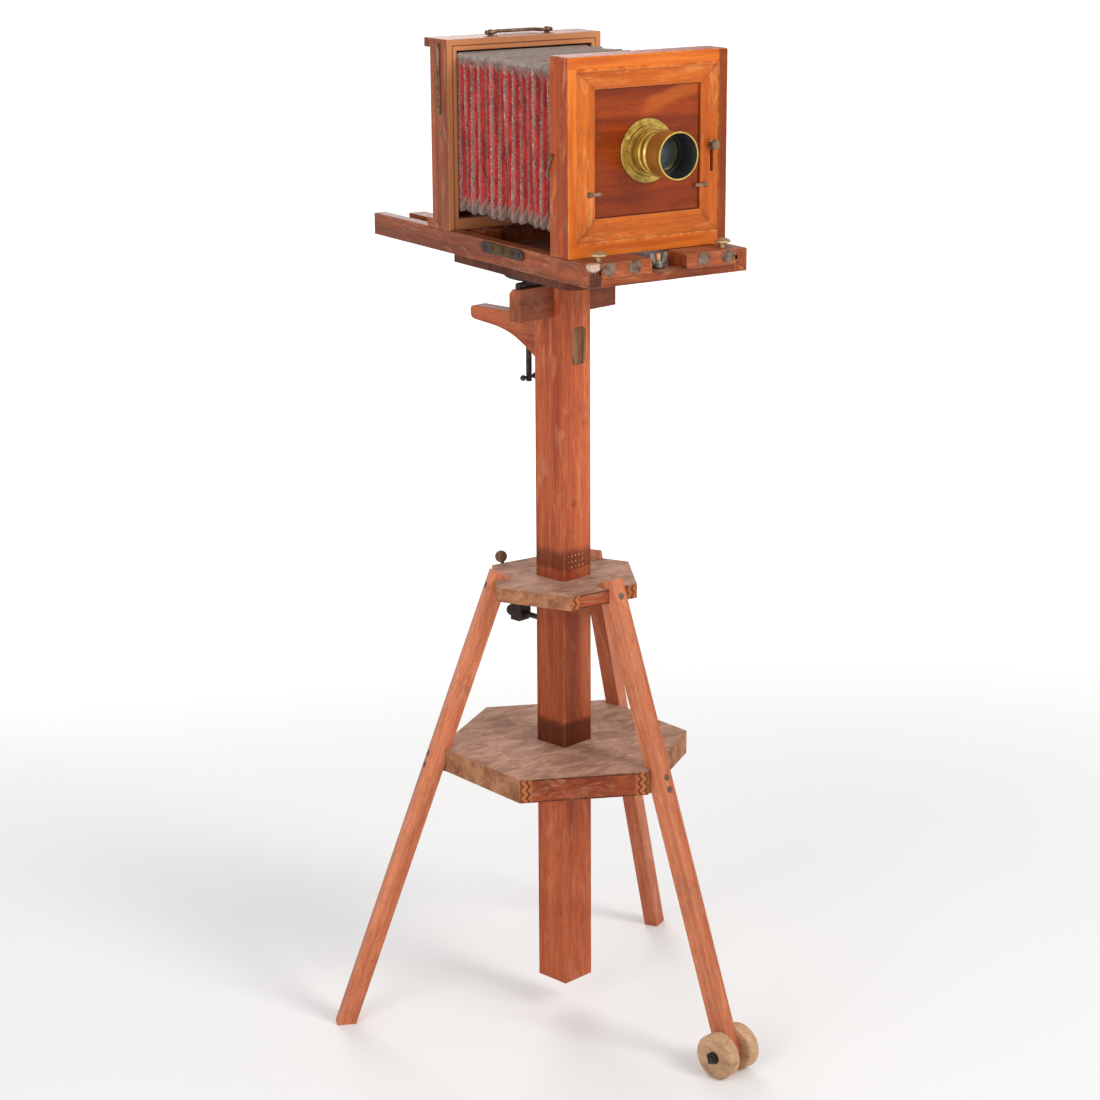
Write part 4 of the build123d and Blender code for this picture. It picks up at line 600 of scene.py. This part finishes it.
NODE_MATERIALS = {
    "column": wood("column_wood", STAND_LIGHT, STAND_DARK, Z_AXIS, gloss=0.48, dirt=0.3, extra=column_marks_and_painted_shade,
                   worn=tint(222, 150, 110)),
    "crossbar": wood("crossbar_wood", tint(176, 98, 62), tint(112, 56, 36), COLUMN_X, shift=0.3, dirt=0.5,
                     worn=tint(190, 140, 110)),
    "tilt_arm": wood("arm_wood", tint(192, 104, 68), tint(128, 58, 36), COLUMN_Y, shift=0.6, dirt=0.3),
    "column_inlay": wood("inlay_cork", tint(150, 104, 72), tint(84, 52, 34), Z_AXIS, gloss=0.8, dirt=0.7,
                         wear=0.1, contrast=2.2, figure=180.0),
    "upper_plate": wood("upper_plate_wood", tint(166, 84, 52), tint(110, 48, 28), X_AXIS, gloss=0.72,
                        shift=1.1, extra=partial(plate_faces, "upper_plate", 271.6),
                        worn=RUBBED_TAN),
    "lower_plate": wood("lower_plate_wood", tint(158, 78, 48), tint(104, 44, 26), X_AXIS, gloss=0.74,
                        shift=2.3, extra=partial(plate_faces, "lower_plate", 246.9),
                        worn=RUBBED_TAN, dirt=0.45),
    "platform": wood("platform_wood", tint(112, 58, 38), tint(48, 24, 18), X_AXIS, gloss=0.6, shift=0.9,
                     dirt=0.6),
    "lens_panel": wood("panel_wood", tint(158, 62, 4), tint(110, 35, 2), X_AXIS, gloss=0.34, coat=0.14,
                       shift=3.1, dirt=0.12, wear=0.25, figure=14.0, extra=panel_figure),
    "front_frame": wood("frame_wood", zones=frame_zones, joint=frame_joint, grain=Z_AXIS, shift=1.7,
                        dirt=0.16, wear=0.55, **GLOSSY),
    "front_box": wood("front_box_wood", zones=box_zones, grain=Z_AXIS, shift=2.9, dirt=0.2, wear=0.95,
                      extra=box_faces_with_painted_light, light=tint(184, 76, 16), dark=tint(122, 40, 6),
                      worn=RUBBED_ORANGE, gloss=0.44, coat=0.06),
    "rear_frame": wood("rear_frame_wood", zones=rear_zones, grain=Z_AXIS, shift=0.2, dirt=0.3, wear=0.9,
                       extra=rear_faces_with_painted_light, **DARK_WOOD),
    "bed_end_plates": metal("end_plate_metal", tint(128, 104, 88), tint(58, 42, 34), 0.5, 0.9, 0.5),
    "thumb_screw_left": metal("thumb_screw_brass", tint(214, 184, 142), tint(142, 112, 78), 0.4, 0.7, 0.8),
    "wing_nut": metal("wing_nut_metal", tint(150, 142, 134), tint(84, 76, 70), 0.46, 0.6, 0.7),
    "clamp_ball": wood("clamp_ball_wood", tint(146, 106, 82), tint(88, 60, 46), Z_AXIS, gloss=0.6, shift=4.0),
    "rear_ledges": wood("ledge_wood", grain=X_AXIS, shift=0.8, wear=0.6, **DARK_WOOD),
    "carriage": wood("carriage_wood", grain=Y_AXIS, shift=1.3, wear=0.5, dust=0.4, **DARK_WOOD),
    "screen_frame": wood("screen_frame_wood", grain=X_AXIS, shift=1.9, wear=0.6, **DARK_WOOD),
    "bed_board": wood("board_wood", grain=X_AXIS, shift=2.1, wear=0.5, dust=0.55, **DARK_WOOD),
    "tail_cross_rails": wood("cross_rail_wood", grain=X_AXIS, shift=2.6, wear=0.5, dust=0.5, **DARK_WOOD),
    "front_blocks": wood("block_wood", grain=X_AXIS, shift=3.3, wear=0.8, dust=0.25, **DARK_WOOD),
    "channel_bolt": metal("peg_and_bolt", tint(92, 78, 68), tint(48, 38, 32), 0.6, extra=peg_top),
    "lens_flange": metal("flange_brass", tint(196, 166, 90), tint(126, 102, 46), 0.38, 0.8,
                         turned_about=LENS_AXIS),
    "lens_hood": metal("hood_brass", OLD_BRASS, OLD_BRASS_DULL, 0.36, 0.7, turned_about=LENS_AXIS,
                       extra=hood_inside),
    "tailboard_hinges": metal("hinge_brass", tint(120, 96, 44), tint(66, 44, 30), 0.5, 0.7, 0.7,
                              extra=hinge_recess),
}
NODE_MATERIALS["thumb_screw_right"] = NODE_MATERIALS["thumb_screw_left"]
for number, node in enumerate(("leg_left", "leg_back", "leg_wheel")):
    NODE_MATERIALS[node] = wood(f"{node}_wood", tint(216, 134, 96), tint(164, 84, 54), leg_direction(node),
                                gloss=0.5, shift=0.4 * number, worn=tint(232, 170, 134), dirt=0.2)
for number, node in enumerate(("front_rail_left", "front_rail_right", "tail_rail_left", "tail_rail_right")):
    NODE_MATERIALS[node] = wood(f"{node}_wood", grain=Y_AXIS, shift=0.5 + 0.7 * number, wear=0.85, dust=0.2,
                                extra=rail_corner if node == "front_rail_left" else None, **DARK_WOOD)

SLOT_MATERIALS = {
    "mahogany_dark": NODE_MATERIALS["rear_ledges"],
    "wheel_wood": wood("wheel_wood", tint(222, 180, 142), tint(160, 120, 88), Y_AXIS, gloss=0.78, dirt=0.5,
                       worn=tint(214, 184, 152), shift=5.0),
    "brass": metal("old_brass", OLD_BRASS, OLD_BRASS_DULL, 0.34, 0.7, turned_about=LENS_AXIS),
    "brass_dark": metal("dull_brass", tint(150, 122, 98), tint(84, 64, 50), 0.46, 0.8, 0.85),
    "iron": metal("black_iron", tint(74, 66, 62), tint(34, 29, 27), 0.55, 0.7, 0.75),
    "steel": metal("old_steel", tint(142, 130, 120), tint(74, 62, 56), 0.42, 0.7),
    "lens_glass": glass("lens_glass", tint(206, 216, 224), 0.03, 0.9),
    "frosted_glass": glass("frosted_glass", tint(214, 218, 214), 0.55, 0.6),
}

SLOT_OF = {part["node"]: part["material_slot"] for part in frame["record"]["subparts"]}

for node_name, node_object in frame["nodes"].items():
    dressing = NODE_MATERIALS.get(node_name) or SLOT_MATERIALS.get(SLOT_OF[node_name])
    if dressing:
        node_object.data.materials.clear()
        node_object.data.materials.append(dressing)


# ---------------------------------------------------------------- mesh helpers
def new_piece(name, body, material):
    """An empty mesh object, its bmesh, and a function that closes it and makes it ride."""
    mesh = bpy.data.meshes.new(name)
    made = bpy.data.objects.new(name, mesh)
    bpy.context.scene.collection.objects.link(made)
    mesh.materials.append(material)
    shape = bmesh.new()

    def close(smooth=True):
        bmesh.ops.recalc_face_normals(shape, faces=shape.faces)
        shape.to_mesh(mesh)
        shape.free()
        mesh.polygons.foreach_set("use_smooth", [smooth] * len(mesh.polygons))
        if body:
            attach(made, body)

    return made, shape, close


def lathe(shape, place, outline, turns):
    """Adds a turned solid: outline holds (radius, height) pairs, with height along the place's Z."""
    angles = [2 * math.pi * k / turns for k in range(turns)]
    rings = []
    for radius, height in outline:
        if radius == 0:
            rings.append([shape.verts.new(place @ Vector((0, 0, height)))])
            continue
        rings.append([shape.verts.new(place @ Vector((radius * math.cos(a), radius * math.sin(a), height)))
                      for a in angles])
    for first, second in zip(rings, rings[1:]):
        for k in range(turns):
            nxt = (k + 1) % turns
            corners = [first[k % len(first)], first[nxt % len(first)], second[nxt % len(second)],
                       second[k % len(second)]]
            unique = list(dict.fromkeys(corners))
            if len(unique) > 2:
                shape.faces.new(unique)


def facing(place, direction, roll=0.0):
    """A matrix at a place with its Z along a direction."""
    turn = Vector(direction).to_track_quat("Z", "Y").to_matrix().to_4x4()
    return Matrix.Translation(place) @ turn @ Matrix.Rotation(roll, 4, "Z")


SLOT_HALF = 0.32 * MM
SLOT_FLOOR = 0.1 * MM
SLOT_REACH = 0.97
HEAD_SUNK = -0.3 * MM
HEAD_RIM = 0.25 * MM
HEAD_TOP = 0.9 * MM
DOME_SHARE = 0.62
ARC_POINTS = 12


def slotted_head(name, body, place, direction, radius=3.4 * MM, roll=0.6):
    """A countersunk screw head: a shallow dome with a sawn slot."""
    _, shape, close = new_piece(name, body, SLOT_MATERIALS["steel"])
    at = facing(place, direction, roll)

    def points(corners, height):
        return [shape.verts.new(at @ Vector((x, y, height))) for x, y in corners]

    slot_angle = math.asin(SLOT_HALF / radius)
    for side in (-1, 1):
        rim = [(radius * math.cos(a), side * radius * math.sin(a))
               for a in np.linspace(slot_angle, math.pi - slot_angle, ARC_POINTS)]
        dome = [(x * DOME_SHARE, side * max(abs(y) * DOME_SHARE, SLOT_HALF)) for x, y in rim]
        low = points(rim, HEAD_SUNK)
        edge = points(rim, HEAD_RIM)
        top = points(dome, HEAD_TOP)
        for lower, upper in ((low, edge), (edge, top)):
            for k in range(len(rim) - 1):
                shape.faces.new((lower[k], lower[k + 1], upper[k + 1], upper[k]))
        shape.faces.new(top)
        shape.faces.new(low)
        shape.faces.new((low[0], edge[0], top[0], top[-1], edge[-1], low[-1]))
    reach = radius * SLOT_REACH
    slot = [(-reach, -SLOT_HALF), (reach, -SLOT_HALF), (reach, SLOT_HALF), (-reach, SLOT_HALF)]
    shape.faces.new(points(slot, SLOT_FLOOR))
    close(smooth=False)


HOLE_RADIUS = 1.7 * MM
HOLE_TURNS = 16


def open_hole(name, body, place, direction):
    """A small worn screw hole: a dark cup with a raised, rubbed rim."""
    _, shape, close = new_piece(name, body, SLOT_MATERIALS["iron"])
    cup = [(0, -0.5 * MM), (HOLE_RADIUS * 0.8, -0.4 * MM), (HOLE_RADIUS, 0.12 * MM)]
    rim = [(HOLE_RADIUS * 1.12, 0.1 * MM), (HOLE_RADIUS * 1.15, -0.3 * MM), (0, -0.6 * MM)]
    lathe(shape, facing(place, direction), cup + rim, HOLE_TURNS)
    close()


# ---------------------------------------------------------------- small fittings
LEFT = (-1, 0, 0)
FORWARD = (0, -1, 0)
BACKWARD = (0, 1, 0)
FRONT_BOX_X = middle("front_box").x
LEDGES_X = middle("rear_ledges").x
REAR_TOP_HOLE = Vector((middle("rear_frame").x - 4 * MM, REAR_LOW.y, REAR_HIGH.z - 7 * MM))


def on_bed(x, y, above):
    """A place at x and y, a number of millimetres above the bed's top."""
    return Vector((x, y, BED_TOP + above * MM))


slotted_head("screw_rear_side", "rear", on_bed(REAR_LOW.x, REAR_LOW.y + 20 * MM, 137.0), LEFT)
slotted_head("screw_rear_foot", "rear", on_bed(REAR_LOW.x, REAR_LOW.y + 35 * MM, 9.0), LEFT, 3.0 * MM)
slotted_head("screw_bed_side", "camera", on_bed(BED_MIDDLE_X - 130.5 * MM, BED_FRONT_Y + 494.5 * MM, -12.6),
             LEFT, 3.2 * MM, 1.2)
open_hole("hole_rear_stile", "rear", on_bed(REAR_LOW.x + 8 * MM, REAR_LOW.y, 139.0), FORWARD)
open_hole("hole_rear_top", "rear", REAR_TOP_HOLE, FORWARD)
for side, label in ((-1, "left"), (1, "right")):
    for level, above in (("high", 250.0), ("low", 14.0)):
        place = on_bed(FRONT_BOX_X + side * 123.5 * MM, FRONT_HIGH.y, above)
        slotted_head(f"screw_front_box_{label}_{level}", "camera", place, BACKWARD, 2.6 * MM, 0.4 + side)
    for level, above in (("high", 264.0), ("low", 7.0)):
        place = on_bed(LEDGES_X + side * 112 * MM, LEDGE_BACK_Y, above)
        slotted_head(f"screw_ledge_{label}_{level}", "rear", place, BACKWARD, 2.8 * MM, side * 0.9)


# ---------------------------------------------------------------- bellows
PLEATS = 16
FOLD_DEPTH = 11.0 * MM
CLOTH = 1.1 * MM
SIDE_POINTS = 30
RIDGE_CORNER = 3.0 * MM
VALLEY_CORNER = 16.0 * MM
# The cloth runs this far behind its CAD solid, into the rear frame.
BELLOWS_REACH = 20.0 * MM
# The rings of points in each pleat and the points on each cut corner, as shares of its length.
FOLD_STEPS = (0.0, 0.07, 0.25, 0.43, 0.5, 0.57, 0.75, 0.93)
CORNER_STEPS = (0.0, 0.34, 0.66)
# How far a corner's grey spreads along its sides, above and below the middle.
GREY_ABOVE = 7.0 * MM
GREY_BELOW = 12.0 * MM
# How unevenly the ridges stand: sway along the bed, depth, and how the corners crease and droop.
BELLOWS_SEED = 17
SWAY = 0.9 * MM
UNEVEN = 0.8 * MM
CREASE = 1.6
DROOP = 2.2 * MM
RIDGE_INSET = 0.4 * MM


def fold_at(share):
    """How deep the cloth is in its fold, from 0 on a ridge to 1 in a valley, over one pleat."""
    return 1 - abs(2 * share - 1)


def ring_points(half_x, half_z, corner):
    """The bellows' outline: straight sides joined by cut corners, as (x, z, corner share)."""
    corners = [(half_x, half_z), (-half_x, half_z), (-half_x, -half_z), (half_x, -half_z)]
    points = []
    for k, (x, z) in enumerate(corners):
        before, after = corners[k - 1], corners[(k + 1) % 4]
        to_before = Vector((before[0] - x, before[1] - z)).normalized() * corner
        to_after = Vector((after[0] - x, after[1] - z)).normalized() * corner
        enter = Vector((x, z)) + to_before
        leave = Vector((x, z)) + to_after
        for t in CORNER_STEPS:
            place = enter.lerp(leave, t)
            points.append((place.x, place.y, 1.0))
        nx, nz = after
        end = Vector((nx, nz)) + Vector((x - nx, z - nz)).normalized() * corner
        for t in np.linspace(0, 1, SIDE_POINTS, endpoint=False):
            place = leave.lerp(end, float(t))
            near = min(t, 1 - t) * (end - leave).length
            spread = GREY_ABOVE if place.y > 0 else GREY_BELOW
            points.append((place.x, place.y, max(0.0, 1 - near / spread)))
    return points


def bellows_cloth_material():
    """Red leather with grey, rubbed ridges and corners, painted shade in its valleys, and a dusty top."""
    graph = Graph("bellows_leather")
    fold = graph.node("ShaderNodeAttribute", attribute_name="fold").outputs["Fac"]
    corner = graph.node("ShaderNodeAttribute", attribute_name="corner").outputs["Fac"]
    level_part = graph.node("ShaderNodeAttribute", attribute_name="level").outputs["Fac"]
    upright = graph.vector("MULTIPLY", graph.point, (1.0, 1.0, 0.35))
    mottled = graph.noise(upright, 120.0, 7.0, 0.72, 0.4)
    red = graph.mix(graph.step(mottled, 0.34, 0.66), tint(118, 20, 20), tint(196, 46, 40))
    grey = graph.mix(graph.noise(graph.point, 240.0, 5.0, 0.7), tint(98, 82, 74), tint(168, 148, 136))
    ridge_noise = graph.noise(graph.point, 300.0, 6.0, 0.75)
    ridge = graph.inverse(graph.step(fold, 0.16, 0.36))
    rubbed = graph.product(ridge, graph.step(ridge_noise, 0.36, 0.58))
    colour = graph.lay(red, grey, rubbed, 0.85)
    sharp = graph.inverse(graph.step(fold, 0.0, 0.10))
    flecks = graph.product(sharp, graph.step(ridge_noise, 0.50, 0.64))
    colour = graph.lay(colour, tint(224, 212, 188), flecks, 0.9)
    # Painted shade: the cloth is darkened towards the bottom of each valley.
    valley = graph.step(fold, 0.55, 1.0)
    colour = graph.lay(colour, tint(58, 14, 16), valley, 0.35)
    scattered = graph.step(graph.noise(graph.point, 520.0, 3.0, 0.6), 0.62, 0.70)
    colour = graph.lay(colour, tint(206, 186, 172), scattered, 0.4)
    corner_grey = graph.step(graph.math("ADD", corner, graph.product(mottled, 0.3)), 0.62, 0.92)
    colour = graph.lay(colour, grey, corner_grey, 0.9)
    dusty = graph.product(level_part, graph.step(graph.noise(graph.point, 60.0, 5.0, 0.7), 0.22, 0.46))
    dust = graph.mix(ridge_noise, tint(98, 86, 80), tint(184, 172, 162))
    colour = graph.lay(colour, dust, dusty, 0.92)
    height = graph.math("ADD", graph.product(mottled, 0.7), graph.product(ridge_noise, 0.6))
    graph.bump(height, 0.45 * MM, 0.75)
    rough = graph.math("ADD", 0.5, graph.product(ridge_noise, 0.3))
    return graph.finish(colour, rough, Specular_IOR_Level=0.25)


def build_bellows():
    """Pleated leather, in even pleats, from the front box to just inside the rear frame."""
    low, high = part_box("bellows")
    centre = (low + high) / 2
    half_x = (high.x - low.x) / 2
    half_z = (high.z - low.z) / 2
    made, shape, close = new_piece("bellows_pleats", None, bellows_cloth_material())
    draws = np.random.default_rng(BELLOWS_SEED)
    length = high.y + BELLOWS_REACH - low.y
    pitch = length / PLEATS
    fold_layer = shape.verts.layers.float.new("fold")
    corner_layer = shape.verts.layers.float.new("corner")
    level_layer = shape.verts.layers.float.new("level")
    lean = draws.normal(0, SWAY, (PLEATS + 1, 4))
    uneven = draws.normal(0, UNEVEN, PLEATS + 1)
    rings = []
    steps = [(n, s) for n in range(PLEATS) for s in FOLD_STEPS] + [(PLEATS, 0.0)]
    for n, share in steps:
        deep = fold_at(share)
        y = low.y + (n + share) * pitch
        inset = deep * FOLD_DEPTH + RIDGE_INSET + abs(uneven[n]) * (1 - deep)
        corner = RIDGE_CORNER + (VALLEY_CORNER - RIDGE_CORNER) * deep
        ring = []
        for x, z, near_corner in ring_points(half_x - inset, half_z - inset, corner):
            waves = (math.sin(z * 21), math.sin(x * 27 + 1.0), math.cos(z * 9))
            sway = (1 - deep) * sum(size * wave for size, wave in zip(lean[n], waves))
            crease = (1 - deep) * near_corner * lean[n][3] * CREASE
            droop = (1 - deep) * near_corner * (DROOP if z < 0 else 0.0)
            vert = shape.verts.new((centre.x + x, y + sway + crease, centre.z + z - droop))
            vert[fold_layer] = deep
            vert[corner_layer] = near_corner
            vert[level_layer] = 1.0 if z > half_z - inset - corner * 0.7 else 0.0
            ring.append(vert)
        rings.append(ring)
    for first, second in zip(rings, rings[1:]):
        for k in range(len(first)):
            nxt = (k + 1) % len(first)
            shape.faces.new((first[k], first[nxt], second[nxt], second[k]))
    close(smooth=False)
    thicken = made.modifiers.new("cloth", "SOLIDIFY")
    thicken.thickness = CLOTH
    thicken.offset = -1.0
    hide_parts("bellows")
    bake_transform(made)


build_bellows()


# ---------------------------------------------------------------- stage, light and camera
# The camera's place, measured from the column's axis.
CAMERA_HEADING = math.radians(33.1434)
CAMERA_DISTANCE = 3.6432
CAMERA_HEIGHT = 1.7476
CAMERA_PITCH = math.radians(15.7395)
CAMERA_ROLL = math.radians(-0.3347)
CAMERA_PAN = math.radians(-0.3067)
CAMERA_LENS = 85.17
SENSOR = 36.0

WHITE = (1.0, 1.0, 1.0)
WORLD_STRENGTH = 0.5
BACKDROP_STRENGTH = 1.0
FLOOR_REACH = 60.0
FLOOR_PAINT = (0.88, 0.88, 0.88, 1.0)
# The floor's own glow grows between these distances in metres, by this emission strength.
GLOW_NEAR, GLOW_FAR = 0.9, 4.5
GLOW_LEAST, GLOW_GROWTH = 0.06, 0.75
LIGHT_AIM = Vector((0.0, 0.0, 0.9))
# Name, place in metres, width in metres, power in watts and colour.
LIGHTS = (
    ("key_light", (1.2, -3.4, 2.9), 1.6, 82.0, (1.0, 0.98, 0.95)),
    ("fill_light", (-3.4, -1.6, 1.9), 2.4, 46.0, WHITE),
    ("back_light", (1.2, 3.2, 2.6), 2.4, 50.0, WHITE),
)


def stage_floor():
    """A plain pale floor, wide enough to fill the view, that glows to white with distance."""
    mesh = bpy.data.meshes.new("floor")
    floor = bpy.data.objects.new("floor", mesh)
    bpy.context.scene.collection.objects.link(floor)
    shape = bmesh.new()
    bmesh.ops.create_grid(shape, x_segments=2, y_segments=2, size=FLOOR_REACH)
    shape.to_mesh(mesh)
    shape.free()
    graph = Graph("pale_floor")
    distance = graph.vector("LENGTH", graph.point)
    glow = graph.product(graph.step(distance, GLOW_NEAR, GLOW_FAR), GLOW_GROWTH)
    graph.put(graph.shader.inputs["Emission Strength"], graph.math("ADD", glow, GLOW_LEAST))
    mesh.materials.append(graph.finish(FLOOR_PAINT, 0.9, Emission_Color=(*WHITE, 1.0)))


def area_light(name, place, size, power, colour):
    """A round light that looks at the aim."""
    lamp = bpy.data.lights.new(name, "AREA")
    lamp.shape = "DISK"
    lamp.size = size
    lamp.energy = power
    lamp.color = colour
    made = bpy.data.objects.new(name, lamp)
    bpy.context.scene.collection.objects.link(made)
    made.location = place
    made.rotation_mode = "QUATERNION"
    made.rotation_quaternion = (LIGHT_AIM - Vector(place)).to_track_quat("-Z", "Y")


def pale_world():
    """A soft white surround for the light, and plain white where the view goes past the floor."""
    world = bpy.data.worlds.new("pale_world")
    bpy.context.scene.world = world
    world.use_nodes = True
    tree = world.node_tree
    surround = tree.nodes["Background"]
    seen = tree.nodes.new("ShaderNodeBackground")
    for background, strength in ((surround, WORLD_STRENGTH), (seen, BACKDROP_STRENGTH)):
        background.inputs["Color"].default_value = (*WHITE, 1.0)
        background.inputs["Strength"].default_value = strength
    rays = tree.nodes.new("ShaderNodeLightPath")
    mixed = tree.nodes.new("ShaderNodeMixShader")
    tree.links.new(rays.outputs["Is Camera Ray"], mixed.inputs[0])
    tree.links.new(surround.outputs[0], mixed.inputs[1])
    tree.links.new(seen.outputs[0], mixed.inputs[2])
    tree.links.new(mixed.outputs[0], tree.nodes["World Output"].inputs[0])


def place_camera():
    """The photo's own viewpoint."""
    yaw = CAMERA_HEADING + CAMERA_PAN
    ahead = Vector((math.sin(yaw) * math.cos(CAMERA_PITCH), math.cos(yaw) * math.cos(CAMERA_PITCH),
                    -math.sin(CAMERA_PITCH)))
    right = Vector((math.cos(yaw), -math.sin(yaw), 0))
    up = right.cross(ahead)
    rolled_right = right * math.cos(CAMERA_ROLL) + up * math.sin(CAMERA_ROLL)
    rolled_up = up * math.cos(CAMERA_ROLL) - right * math.sin(CAMERA_ROLL)
    data = bpy.data.cameras.new("camera_view")
    data.lens = CAMERA_LENS
    data.sensor_width = SENSOR
    camera = bpy.data.objects.new("camera_view", data)
    bpy.context.scene.collection.objects.link(camera)
    turn = Matrix((rolled_right, rolled_up, -ahead)).transposed()
    place = Vector((COLUMN_AXIS.x - CAMERA_DISTANCE * math.sin(CAMERA_HEADING),
                    COLUMN_AXIS.y - CAMERA_DISTANCE * math.cos(CAMERA_HEADING), CAMERA_HEIGHT))
    camera.matrix_world = Matrix.Translation(place) @ turn.to_4x4()
    bpy.context.scene.camera = camera


stage_floor()
pale_world()
for light in LIGHTS:
    area_light(*light)
place_camera()
bpy.context.scene.view_settings.view_transform = "Standard"
